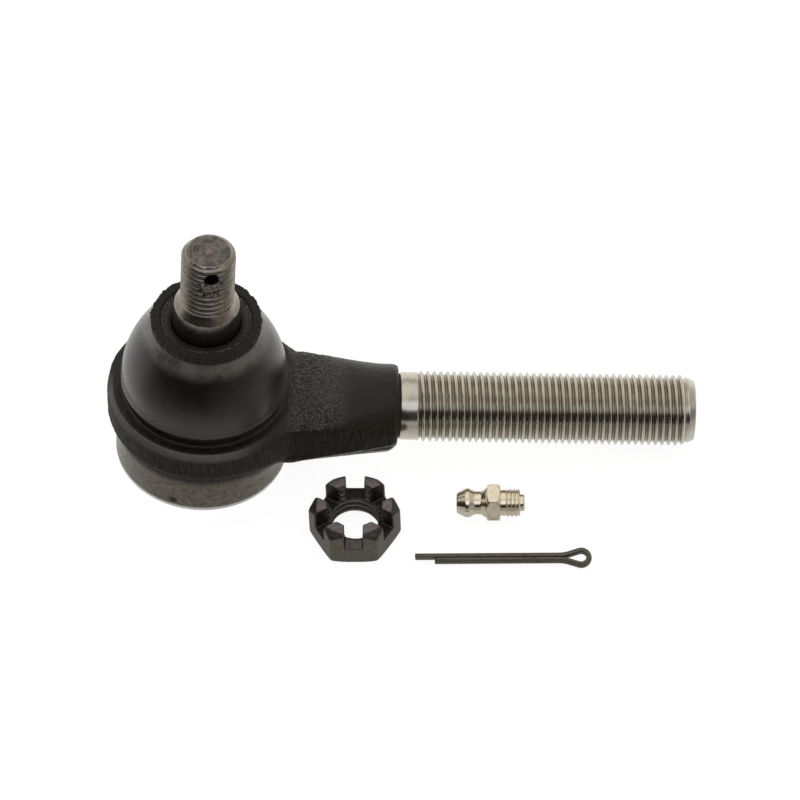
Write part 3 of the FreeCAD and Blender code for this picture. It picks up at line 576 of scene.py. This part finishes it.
def acetal():
    """Moulded off-white bearing plastic."""
    look = Look("acetal")
    cloud = look.noise(0.6, 3.0, 0.5)
    colour = look.mix(cloud, (0.72, 0.70, 0.62, 1), (0.82, 0.80, 0.74, 1))
    return look.finish(colour, look.ramp(cloud, 0.3, 0.7, 0.4, 0.5), look.bump(look.noise(8.0), 0.01))


# ---------------------------------------------------------------- the forged housing


BELT_RADIUS = 21.7
BELT_TOP = 4.5
BEVEL = 1.3
BASE_HEIGHT = -14.8
BOSS_END = 43.7


def along_arm(*values):
    """A smooth curve through values at three stations from the socket to the boss."""
    terms = np.polyfit((20.0, 31.0, 42.0), values, 2)
    return lambda x: np.polyval(terms, np.clip(x, 20.0, 42.0))


ARM_HALF = along_arm(12.2, 10.9, 9.5)
ARM_CROWN = along_arm(5.6, 7.5, 9.3)
ARM_WALL_TOP = along_arm(3.0, 0.9, 0.0)
ARM_WALL_LOW = along_arm(-6.0, -4.6, -3.3)
ARM_FLOOR = along_arm(-8.6, -9.0, -9.3)
ARM_SQUARENESS = along_arm(5.0, 2.7, 2.0)


def oval(across, up, power):
    """Roughly the distance to a superellipse of half sizes 1 and 1, times the unit."""
    return (np.abs(across) ** power + np.abs(up) ** power) ** (1 / power) - 1


def arm_field(x, y, z):
    """The arm: a crowned top on a trimmed vertical wall, over a slightly narrower lower half."""
    half, power = ARM_HALF(x), ARM_SQUARENESS(x)
    wall_top, wall_low = ARM_WALL_TOP(x), ARM_WALL_LOW(x)
    rise = ARM_CROWN(x) - wall_top
    top = oval(y / half, np.maximum(z - wall_top, 0) / rise, power) * np.minimum(half, rise)
    upper = smooth_max(top, wall_low - z, 0.4)
    narrow, drop = half - 0.6, wall_low - ARM_FLOOR(x)
    under = oval(y / narrow, np.minimum(z - wall_low, 0) / drop, 2.4) * np.minimum(narrow, drop)
    lower = np.maximum(under, z - wall_low - 1)
    arm = smooth_min(upper, lower, 0.5)
    arm = smooth_max(arm, np.hypot(y, z) - 9.4 + (x - BOSS_END + 0.6) * 0.9, 0.5)
    return smooth_max(arm, x - BOSS_END, 0.3)


# Outlines of the socket as (radius, height, corner radius): lower wall, belt, bevel, boot seat and collar
SOCKET_OUTSIDE = rounded([
    (-5, BASE_HEIGHT, 0), (19.4, BASE_HEIGHT, 0.25), (19.4, -4.4, 0.6), (21.4, -1.1, 0.6),
    (BELT_RADIUS, BELT_TOP, 0.3), (20.4, BELT_TOP + BEVEL, 0.3), (17.9, BELT_TOP + BEVEL, 0.5),
    (17.9, 8.5, 0.3), (16.0, 8.5, 0.3), (16.0, 12.5, 0.4), (-5, 12.5, 0),
])
# ... and the cavity: crimped rim, cover's groove, bearing bore and the stud's mouth
SOCKET_INSIDE = rounded([
    (-5, -17.0, 0), (15.4, -17.0, 0), (15.4, -13.8, 0.2), (16.6, -13.8, 0.2), (16.6, -12.2, 0.2),
    (14.0, -12.2, 0.2), (14.0, 8.2, 0.2), (10.9, 8.2, 0.3), (12.9, 12.6, 0), (13.4, 14.0, 0), (-5, 14.0, 0),
])


def housing_field(x, y, z):
    """Socket, arm and boss as one hollow forging. Its belt dips towards the arm and has no bevel behind."""
    radius = np.hypot(x, y)
    towards_arm = step(x / np.maximum(radius, 1.0), 0.35, 0.95)
    dip = 2.2 * towards_arm * step(z, -9.0, -3.0) * step(z, 4.0, 1.0)
    unbevelled = np.clip(z - BELT_TOP, 0.0, BEVEL) * step(y, -3.0, 7.0) * step(radius, 18.6, 19.6)
    outside = LatheTable(SOCKET_OUTSIDE, -16.5, (27.0, 14.5)).at(radius - unbevelled, z + dip)
    inside = LatheTable(SOCKET_INSIDE, -16.5, (27.0, 14.5)).at(radius, z)
    solid = smooth_min(outside, np.where(x > 8, arm_field(x, y, z), 30.0), 2.2)
    return smooth_max(solid, -inside, 0.25)


def forged_skin(point, normal):
    """How far the forging's skin stands out at a point: scale, a pitted patch, shear marks and one nick."""
    if point.z < -14.2 or (math.hypot(point.x, point.y) < 16.4 and point.x < 18):
        return 0.0
    skin = 0.05 * noise.noise(point * 0.45) + 0.035 * noise.noise(point * 1.3)
    wall = float(step(abs(normal.z), 0.5, 0.2))
    on_belt = float(step(point.z, -6.0, -1.5) * step(point.z, 4.8, 3.6))
    shear = noise.noise(Vector((point.x * 1.1, point.y * 1.1, point.z * 0.12)))
    skin += wall * on_belt * 0.11 * shear
    patch = float(step(point.x, 18.5, 21.0) * step(point.x, 33.0, 24.0) * step(normal.z, 0.4, 0.8))
    skin += patch * 0.3 * noise.noise(point * 1.7)
    if point.y < 0:
        away = point - NICK
        skin -= 0.5 * math.exp(-((away.x / 1.3) ** 2) - ((away.z + 0.3 * away.x) / 0.45) ** 2)
    return skin


def make_housing():
    mesh = field_mesh("socket_forging", housing_field, (-22.6, -22.6, -15.6), (44.6, 22.6, 13.4), 0.38)
    displaced(mesh, forged_skin)
    finish_piece("socket_forging", mesh, black_forging(), "housing", ["housing"])


# ---------------------------------------------------------------- the threaded shank


RELIEF_RADIUS = 7.65
SHANK_RADIUS = 8.0
SHANK_END = 110.7


def shank_radius(along, angle, shape):
    """Thread that runs out into the relief at one end and into the chamfer at the other."""
    thread = SHANK_RADIUS - THREAD_DEPTH * (1 - shape)
    started = RELIEF_RADIUS + (thread - RELIEF_RADIUS) * step(along, 48.0, 48.5)
    return np.minimum(started, SHANK_RADIUS - (along - 107.7) * 0.433)


def make_shank():
    segments = 144
    rows = [(0, 43.0), (7.3, 43.0), (7.3, 43.75), (7.45, 44.1), (RELIEF_RADIUS, 44.5), (RELIEF_RADIUS, 46.4)]
    rows += [(RELIEF_RADIUS, 47.8)]
    rows += helical_rows(48.0, 110.3, segments, shank_radius)
    rows += [(6.75, SHANK_END - 0.1), (6.6, SHANK_END), (3.0, SHANK_END), (2.6, SHANK_END - 0.3)]
    rows += [(1.2, SHANK_END - 1.7), (0, SHANK_END - 2.4)]
    mesh = lathe("threaded_shank", rows, segments, "X")
    finish_piece("threaded_shank", mesh, shank_steel(), "housing", ["housing"])


# ---------------------------------------------------------------- the ball stud


BALL_RADIUS = 11.0
BALL_FLAT = -8.5
STUD_RADIUS = 6.0
STUD_TURN = math.radians(7.0)
HOLE_HEIGHT = 47.2


def stud_radius(height, angle, shape):
    """The stud's rolled thread, its chamfer, and crests bruised below the cross hole."""
    thread = STUD_RADIUS - THREAD_DEPTH * (1 - shape)
    radius = STUD_RADIUS + (thread - STUD_RADIUS) * step(height, 35.8, 36.6)
    radius = np.minimum(radius, STUD_RADIUS - (height - 49.9) * 1.55)
    side = (angle + math.pi / 2 - STUD_TURN + math.pi) % (2 * math.pi) - math.pi
    lumps = np.array([noise.noise(Vector((a * 7, z * 1.3, 3.0))) for a, z in zip(angle, height)])
    bruise = step(np.hypot((side - 0.1) / 0.5, (height - 44.4) / 2.2) + 0.9 * lumps, 1.0, 0.7)
    return radius + (5.6 + 0.3 * lumps - radius) * bruise


def cut(mesh, tool):
    """The mesh less the tool's mesh."""
    target = bpy.data.objects.new("target", mesh)
    cutter = bpy.data.objects.new("cutter", tool)
    for item in (target, cutter):
        bpy.context.scene.collection.objects.link(item)
    modifier = target.modifiers.new("cut", "BOOLEAN")
    modifier.operation, modifier.solver, modifier.object = "DIFFERENCE", "EXACT", cutter
    graph = bpy.context.evaluated_depsgraph_get()
    result = bpy.data.meshes.new_from_object(target.evaluated_get(graph), depsgraph=graph)
    for item in (target, cutter):
        bpy.data.objects.remove(item)
    result.shade_smooth()
    return result


def make_stud():
    segments = 120
    arc = np.linspace(math.acos(-BALL_FLAT / BALL_RADIUS), 2.52, 40)
    ball = [(BALL_RADIUS * math.sin(t), -BALL_RADIUS * math.cos(t)) for t in arc]
    rows = [(0, BALL_FLAT), *ball, (6.4, 9.2), (6.4, 16.0), (6.6, 16.6), (8.0, 19.2), (8.12, 19.8)]
    rows += [(8.15 - (z - 19.5) * 0.0625, z) for z in np.linspace(20.5, 33.2, 14)]
    rows += [(7.26, 33.6), (7.22, 33.76), (7.1, 33.92), (6.2, 35.25), (6.06, 35.5), (6.0, 35.75)]
    rows += helical_rows(35.8, 50.5, segments, stud_radius)
    rows += [(4.6, 50.9), (4.3, 50.99), (4.0, 50.98), (3.0, 50.92)]
    rows += [(1.6, 50.86), (0.75, 50.8), (0.35, 50.6), (0, 50.5)]
    mesh = lathe("stud", rows, segments)
    half = [(1.6, 5.2), (1.75, 5.6), (3.2, 6.6), (3.2, 8), (0, 8)]
    bore = [(radius, -reach) for radius, reach in reversed(half)] + half
    tool = lathe("hole", bore, 48)
    across = Matrix.Rotation(STUD_TURN, 4, "Z") @ Matrix.Rotation(math.pi / 2, 4, "X")
    tool.transform(in_metres(Matrix.Translation((0, 0, HOLE_HEIGHT)) @ across))
    mesh = cut(mesh, tool)
    finish_piece("threaded_ball_stud", mesh, stud_steel(), "stud", ["ball_stud"])


# ---------------------------------------------------------------- the dust boot and its top ring


BOOT_SEAM = 17.0
BOOT_OUTSIDE = [
    *rounded([(16.8, 9.6, 0), (17.6, 8.75, 0.3), (18.5, 8.7, 0.3), (18.7, 9.1, 0.2), (18.5, 10.2, 0)]),
    *curve((18.5, 10.3), (18.75, 16.6), (14.9, 22.9), (12.5, 26.2)),
    *rounded([
        (12.3, 26.5, 0), (12.4, 27.6, 0.3), (12.4, 28.5, 0.2),
        (12.1, 28.8, 0.3), (10.5, 28.7, 0.3), (10.1, 28.3, 0),
    ]),
]
BOOT_INSIDE = rounded([
    (10.1, 26.4, 0), (12.7, 23.0, 3.0), (15.2, 18.5, 4.0), (16.8, 13.1, 0),
], 8)


def crossing(path, height):
    """The point where a path crosses a height."""
    for a, b in zip(path, path[1:]):
        if min(a[1], b[1]) <= height <= max(a[1], b[1]) and a[1] != b[1]:
            share = (height - a[1]) / (b[1] - a[1])
            return (a[0] + (b[0] - a[0]) * share, height)
    raise ValueError(height)


def ragged(points, segments):
    """Rows whose upper outer edge is nibbled, like the boot's torn moulding flash."""
    angles = np.linspace(0, 2 * math.pi, segments + 1)
    teeth = np.array([noise.noise(Vector((12 * math.cos(a), 12 * math.sin(a), 0.3))) for a in angles])
    nicks = np.array([noise.noise(Vector((26 * math.cos(a), 26 * math.sin(a), 4.3))) for a in angles])
    rows = []
    for radius, height in points:
        edge = float(step(height, 26.9, 28.0) * step(radius, 10.6, 12.0))
        rows.append((radius + edge * (0.34 * teeth + 0.22 * nicks), height + edge * 0.15 * nicks))
    return rows


def make_boot():
    segments = 360
    look = boot_rubber()
    outside, inside = dense(BOOT_OUTSIDE), dense(BOOT_INSIDE)
    seam = [crossing(outside, BOOT_SEAM), crossing(inside, BOOT_SEAM)]
    lower_out = [p for p in outside if p[1] < BOOT_SEAM - 0.05 and p[0] > 16]
    lower_in = [p for p in inside if p[1] < BOOT_SEAM - 0.05]
    upper_out = [p for p in outside if p[1] > BOOT_SEAM + 0.05]
    upper_in = [p for p in inside if p[1] > BOOT_SEAM + 0.05]
    lower = [*lower_out, seam[0], seam[1], *lower_in, lower_out[0]]
    upper = [seam[0], *upper_out, *upper_in, seam[1], seam[0]]
    pieces = (
        ("boot_lower", lower, ("housing", "boot", (0, 0, 12.5 * MM), (0, 0, BOOT_SEAM * MM))),
        ("boot_upper", upper, ("boot", "boot_collar", (0, 0, BOOT_SEAM * MM), (0, 0, 26.4 * MM))),
    )
    for name, points, bodies in pieces:
        mesh = lathe(name, ragged(points, segments), segments)
        mesh.set_sharp_from_angle(angle=math.radians(60))
        finish_piece(name, mesh, look, bodies, ["dust_boot"])


def make_top_ring():
    """The ring inside the boot's rim, dished towards the stud and rough at its outer edge."""
    segments = 240
    angles = np.linspace(0, 2 * math.pi, segments + 1)
    lumps = np.array([noise.noise(Vector((9 * math.cos(a), 9 * math.sin(a), 0.0))) for a in angles])
    path = rounded([
        (8.0, 26.4, 0), (10.08, 26.4, 0.2), (10.08, 28.15, 0), (10.0, 28.5, 0.2), (9.4, 28.1, 0.4),
        (8.6, 27.95, 0.4), (7.75, 27.6, 0.3), (7.72, 27.0, 0.3), (8.0, 26.4, 0),
    ])
    rows = []
    for radius, height in dense(path, 0.35):
        share = float(step(radius, 9.2, 10.0) * step(height, 27.6, 28.1))
        rows.append((radius, height + share * 0.14 * lumps))
    mesh = lathe("stud_seal_ring", rows, segments)
    finish_piece("stud_seal_ring", mesh, ring_rubber(), "boot_collar", ["boot_top_ring"])


# ---------------------------------------------------------------- the loose hardware


def thread_shape(phase):
    """The thread's height, 0 at the root and 1 at the crest, at a place within the pitch."""
    places, heights = zip(*THREAD_SHAPE, (1.0, 0.0))
    return np.interp(phase % 1.0, places, heights)


def hexagon_field(x, y, half, k):
    """Distance to a hexagonal bar with two flats square to Y."""
    lean = math.radians(30)
    first = np.abs(x * math.cos(lean) + y * math.sin(lean)) - half
    second = np.abs(x * math.cos(lean) - y * math.sin(lean)) - half
    return smooth_max(smooth_max(first, second, k), np.abs(y) - half, k)


NUT_HALF, NUT_HEIGHT = 9.0, 9.4
SLOT_HALF, SLOT_FLOOR = 2.1, 4.6


def nut_field(x, y, z):
    """A castle nut: hexagon, chamfered crown and foot, six slots centred on the flats and a threaded bore."""
    radius, angle = np.hypot(x, y), np.arctan2(y, x)
    body = smooth_max(hexagon_field(x, y, NUT_HALF, 0.5), z - NUT_HEIGHT, 0.35)
    body = smooth_max(body, -z, 0.4)
    body = smooth_max(body, ((radius - 8.6) * 1.06 + z - NUT_HEIGHT) / 1.457, 0.4)
    body = smooth_max(body, ((radius - 9.4) * 0.56 - z) / 1.146, 0.4)
    bore = 6.11 - THREAD_DEPTH * thread_shape(z / PITCH - angle / (2 * math.pi))
    bore = np.maximum(bore, 6.3 - np.minimum(z, NUT_HEIGHT - z) * 1.1)
    body = smooth_max(body, bore - radius, 0.15)
    for lean in (-30, 30, 90):
        beside = np.abs(x * math.sin(math.radians(lean)) - y * math.cos(math.radians(lean))) - SLOT_HALF
        body = smooth_max(body, -smooth_max(beside, SLOT_FLOOR - z, 0.5), 0.25)
    return body


def make_nut():
    mesh = field_mesh("castle_nut_visual", nut_field, (-11.0, -9.6, -0.6), (11.0, 9.6, 10.0), 0.16)
    place = RESTING @ Matrix.Translation((*NUT_PLACE, 0)) @ Matrix.Rotation(LOOSE_TURN, 4, "Z")
    finish_piece("slotted_nut", mesh, phosphated_nut(), "nut", ["castle_nut"], place)


HEX_HALF, HEX_START, HEX_END = 4.0, 5.45, 8.4
FITTING_PITCH = 0.907
FITTING_OUTSIDE = rounded([
    (-4, 0, 0), (1.75, 0, 0.2), (1.9, 0.3, 0.2), (1.9, 1.0, 0), (2.9, 1.0, 0), (2.9, 5.5, 0.1),
    (3.4, 5.5, 0), (3.4, 8.6, 0.3), (2.6, 9.8, 0.8), (2.62, 11.2, 0.8), (3.3, 12.4, 0.6),
    (3.3, 13.1, 0.8), (2.38, 15.0, 0.2), (2.2, 15.2, 0.15), (-4, 15.2, 0),
])
FITTING_INSIDE = rounded([
    (-4, -1, 0), (0.9, -1, 0), (0.8, 0.4, 0), (0.8, 1.4, 0), (1.25, 1.4, 0), (1.25, 13.6, 0),
    (0.75, 14.6, 0), (0.75, 14.9, 0), (1.1, 15.3, 0), (1.3, 16.5, 0), (-4, 16.5, 0),
])


def fitting_field(x, y, z):
    """A grease fitting on its own axis, thread end at zero."""
    radius, angle = np.hypot(x, y), np.arctan2(y, x)
    outside = LatheTable(FITTING_OUTSIDE, -1.5, (6.0, 17.0), 0.04).at(radius, z)
    crest = 3.175 - 0.5 * (1 - thread_shape(z / FITTING_PITCH - angle / (2 * math.pi)))
    thread = smooth_max(radius - crest, np.maximum(1.0 - z, z - 4.1), 0.1)
    thread = smooth_max(thread, (radius - 3.0 + (1.15 - z)) * 0.7, 0.1)
    turned = np.minimum(outside, thread)
    hexagon = smooth_max(hexagon_field(x, y, HEX_HALF, 0.15), np.maximum(HEX_START - z, z - HEX_END), 0.12)
    for edge in (radius - 4.35 + (z - 8.05), radius - 4.35 + (5.8 - z)):
        hexagon = smooth_max(hexagon, edge * 0.7, 0.12)
    inside = LatheTable(FITTING_INSIDE, -1.5, (6.0, 17.0), 0.04).at(radius, z)
    return np.maximum(smooth_min(turned, hexagon, 0.15), -inside)


def make_fitting():
    mesh = field_mesh("fitting", fitting_field, (-4.9, -4.4, -0.4), (4.9, 4.4, 15.6), 0.085)
    lying = Matrix.Rotation(math.radians(-90), 4, "Y") @ Matrix.Rotation(FITTING_ROLL, 4, "Z")
    height = 2 * HEX_HALF / math.sqrt(3) * math.cos(FITTING_ROLL) + TABLE_GAP
    place = RESTING @ Matrix.Translation((*FITTING_PLACE, height)) @ Matrix.Rotation(LOOSE_TURN, 4, "Z") @ lying
    finish_piece("nipple_body", mesh, nickel_plating(), "fitting", ["grease_fitting_body"], place)


PIN_RADIUS, LEG_GAP, EYE_DISTANCE, EYE_RADIUS, EYE_FLARE = 1.15, 0.06, 5.0, 1.2, 8.0
LONG_LEG, SHORT_LEG = 32.0, 27.6


def pin_line():
    """The line of the wire's flat side, as points and their directions, from leg tip to leg tip."""
    lean = math.atan2(EYE_DISTANCE, LEG_GAP + EYE_FLARE)
    lean -= math.acos((EYE_RADIUS + EYE_FLARE) / math.hypot(EYE_DISTANCE, LEG_GAP + EYE_FLARE))
    line = [((x, LEG_GAP), 0.0) for x in np.linspace(-LONG_LEG, 0, 60)]
    for angle in np.linspace(0, lean, 10)[1:]:
        spot = (EYE_FLARE * math.sin(angle), LEG_GAP + EYE_FLARE * (1 - math.cos(angle)))
        line.append((spot, angle))
    for angle in np.linspace(lean, -math.pi - lean, 40):
        line.append(((EYE_DISTANCE - EYE_RADIUS * math.sin(angle), EYE_RADIUS * math.cos(angle)), angle))
    for angle in np.linspace(lean, 0, 10)[:-1]:
        spot = (EYE_FLARE * math.sin(angle), -LEG_GAP - EYE_FLARE * (1 - math.cos(angle)))
        line.append((spot, -math.pi - angle))
    line += [((x, -LEG_GAP), -math.pi) for x in np.linspace(0, -SHORT_LEG, 50)]
    return line


def make_pin():
    """Half-round wire swept along the pin's line, its edges eased."""
    arc = np.linspace(0.16, math.pi - 0.16, 17)
    section = [(PIN_RADIUS * math.sin(t), -PIN_RADIUS * math.cos(t)) for t in arc]
    section = [(0.0, -1.02), *section, (0.0, 1.02)]
    points, faces = [], []
    line = pin_line()
    for (x, y), angle in line:
        outward = Vector((-math.sin(angle), math.cos(angle), 0))
        points += [Vector((x, y, 0)) + outward * out + Vector((0, 0, side)) for out, side in section]
    size = len(section)
    for i in range(len(line) - 1):
        for j in range(size):
            k = (j + 1) % size
            faces.append((i * size + j, i * size + k, (i + 1) * size + k, (i + 1) * size + j))
    last = (len(line) - 1) * size
    faces += [tuple(reversed(range(size))), tuple(range(last, last + size))]
    mesh = mesh_of("pin", [tuple(p) for p in points], faces)
    eye_height = PIN_RADIUS + EYE_RADIUS * math.sin(PIN_ROLL)
    pitch = math.asin(EYE_RADIUS * math.sin(PIN_ROLL) / (LONG_LEG + EYE_DISTANCE))
    height = eye_height - EYE_DISTANCE * math.sin(pitch) + TABLE_GAP
    place = RESTING @ Matrix.Translation((*PIN_PLACE, height)) @ Matrix.Rotation(LOOSE_TURN, 4, "Z")
    place = place @ Matrix.Rotation(-pitch, 4, "Y") @ Matrix.Rotation(PIN_ROLL, 4, "X")
    finish_piece("split_pin", mesh, pin_steel(), "pin", ["cotter_pin"], place)


# ---------------------------------------------------------------- the CAD nodes that stay


def dress_cad_nodes():
    """Materials for the CAD nodes whose shape is already right."""
    spring = turned_steel("spring_steel_look", 0.35, 0.0, 0.3)
    looks = {
        "upper_bearing": acetal(),
        "lower_bearing": acetal(),
        "preload_disc_spring": spring,
        "boot_retaining_ring": spring,
        "grease_fitting_ball": turned_steel("ball_steel", 0.6, 0.0, 0.15),
        "grease_fitting_spring": spring,
        "cover_plate": plated_cover(),
    }
    for name, look in looks.items():
        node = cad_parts[name]
        node.data.materials.clear()
        node.data.materials.append(look)
        node.data.shade_smooth()


# ---------------------------------------------------------------- floor, light and camera


def make_floor():
    """A plain white table on the plane that the parts rest on, less bright in front as the parts see it."""
    corners = [RESTING @ Vector((x, y, 0)) for x, y in ((-350, -190), (450, -190), (450, 500), (-350, 500))]
    mesh = bpy.data.meshes.new("floor")
    mesh.from_pydata([c * MM for c in corners], [], [(0, 1, 2, 3)])
    look = Look("white_table", Roughness=0.9)
    look.shader.inputs["Specular IOR Level"].default_value = 0.1
    look.shader.inputs["Emission Color"].default_value = (1, 1, 1, 1)
    bounced = look.ramp(look.part("Y"), -30.0, 5.0, 0.4, 0.9)
    seen = look.add("ShaderNodeLightPath", "Is Camera Ray")
    strength = look.add("ShaderNodeMix", 0, {0: seen, 2: bounced, 3: 0.9}, data_type="FLOAT")
    look.feed(look.shader.inputs["Emission Strength"], strength)
    paper = look.noise(0.4, 3.0)
    mesh.materials.append(look.finish(look.mix(paper, grey(0.2), grey(0.23))))
    floor = bpy.data.objects.new("floor", mesh)
    bpy.context.scene.collection.objects.link(floor)


def make_sky():
    """A white tent with a soft dark opening in front, at the height of the photographer."""
    world = bpy.data.worlds.new("tent")
    bpy.context.scene.world = world
    world.use_nodes = True
    nodes, links = world.node_tree.nodes, world.node_tree.links
    nodes.clear()

    def add(kind, *values, **settings):
        node = nodes.new(kind)
        for key, value in settings.items():
            setattr(node, key, value)
        for socket, value in zip(node.inputs, values):
            if isinstance(value, bpy.types.NodeSocket):
                links.new(value, socket)
            elif value is not None:
                socket.default_value = value
        return node

    def ramp(value, low, high, to_low=0.0, to_high=1.0):
        node = add("ShaderNodeMapRange", value, low, high, to_low, to_high, interpolation_type="SMOOTHSTEP")
        return node.outputs[0]

    def combine(operation, a, b):
        return add("ShaderNodeMath", a, b, operation=operation).outputs[0]

    direction = add("ShaderNodeTexCoord").outputs["Generated"]
    parts = add("ShaderNodeSeparateXYZ", direction).outputs
    height, front = parts[2], combine("MULTIPLY", parts[1], -1.0)
    opening = combine("MULTIPLY", ramp(front, 0.05, 0.3), ramp(height, 0.60, 0.50))
    strip = combine("MULTIPLY", ramp(front, 0.25, 0.5), ramp(height, 0.5, 0.6))
    strip = combine("MULTIPLY", strip, ramp(height, 0.96, 0.88))
    horizon = combine("MULTIPLY", ramp(front, 0.1, -0.5), ramp(height, 0.6, 0.2))
    light = combine("ADD", 0.6, combine("MULTIPLY", horizon, 0.45))
    light = combine("ADD", light, combine("MULTIPLY", strip, 0.55))
    dimmed = combine("MULTIPLY", light, ramp(parts[0], 0.0, 0.7, 0.03, 0.5))
    light = add("ShaderNodeMix", opening, None, light, dimmed, data_type="FLOAT").outputs[0]
    seen = add("ShaderNodeBackground", (1, 1, 1, 1), 1.0)
    warm, cool = (1.0, 0.965, 0.91, 1), (0.90, 0.94, 1.0, 1)
    tint = add("ShaderNodeMix", strip, None, None, None, None, None, warm, cool, data_type="RGBA").outputs[2]
    felt = add("ShaderNodeBackground", tint, light)
    camera_ray = add("ShaderNodeLightPath").outputs["Is Camera Ray"]
    mixed = add("ShaderNodeMixShader", camera_ray, felt.outputs[0], seen.outputs[0])
    links.new(mixed.outputs[0], add("ShaderNodeOutputWorld").inputs["Surface"])


def make_lamp(name, place, size, power):
    """A soft square lamp aimed at the part."""
    lamp = bpy.data.lights.new(name, "AREA")
    lamp.shape, lamp.size, lamp.energy = "SQUARE", size, power
    holder = bpy.data.objects.new(name, lamp)
    holder.location = place
    holder.rotation_euler = (Vector((0.04, 0, 0)) - Vector(place)).to_track_quat("-Z", "Y").to_euler()
    bpy.context.scene.collection.objects.link(holder)


def make_camera():
    """The photograph's viewing angle, with a long lens."""
    camera = bpy.data.cameras.new("camera")
    camera.lens, camera.sensor_width = 260.0, 36.0
    camera.clip_start, camera.clip_end = 0.1, 10.0
    holder = bpy.data.objects.new("camera", camera)
    back = Vector((-0.05132, -0.65207, 0.75642)).normalized()
    right = Vector((0.99855, -0.02117, 0.04950)).normalized()
    turn = Matrix((right, back.cross(right), back)).transposed().to_4x4()
    holder.matrix_world = Matrix.Translation((-0.02253, -0.84820, 0.98591)) @ turn
    bpy.context.scene.collection.objects.link(holder)
    bpy.context.scene.camera = holder


make_camera()
make_sky()
make_lamp("overhead", (-0.15, 0.25, 0.9), 1.0, 1.0)
make_floor()
bpy.context.scene.view_settings.view_transform = "Standard"

make_housing()
make_shank()
make_stud()
make_boot()
make_top_ring()
make_nut()
make_fitting()
make_pin()
dress_cad_nodes()
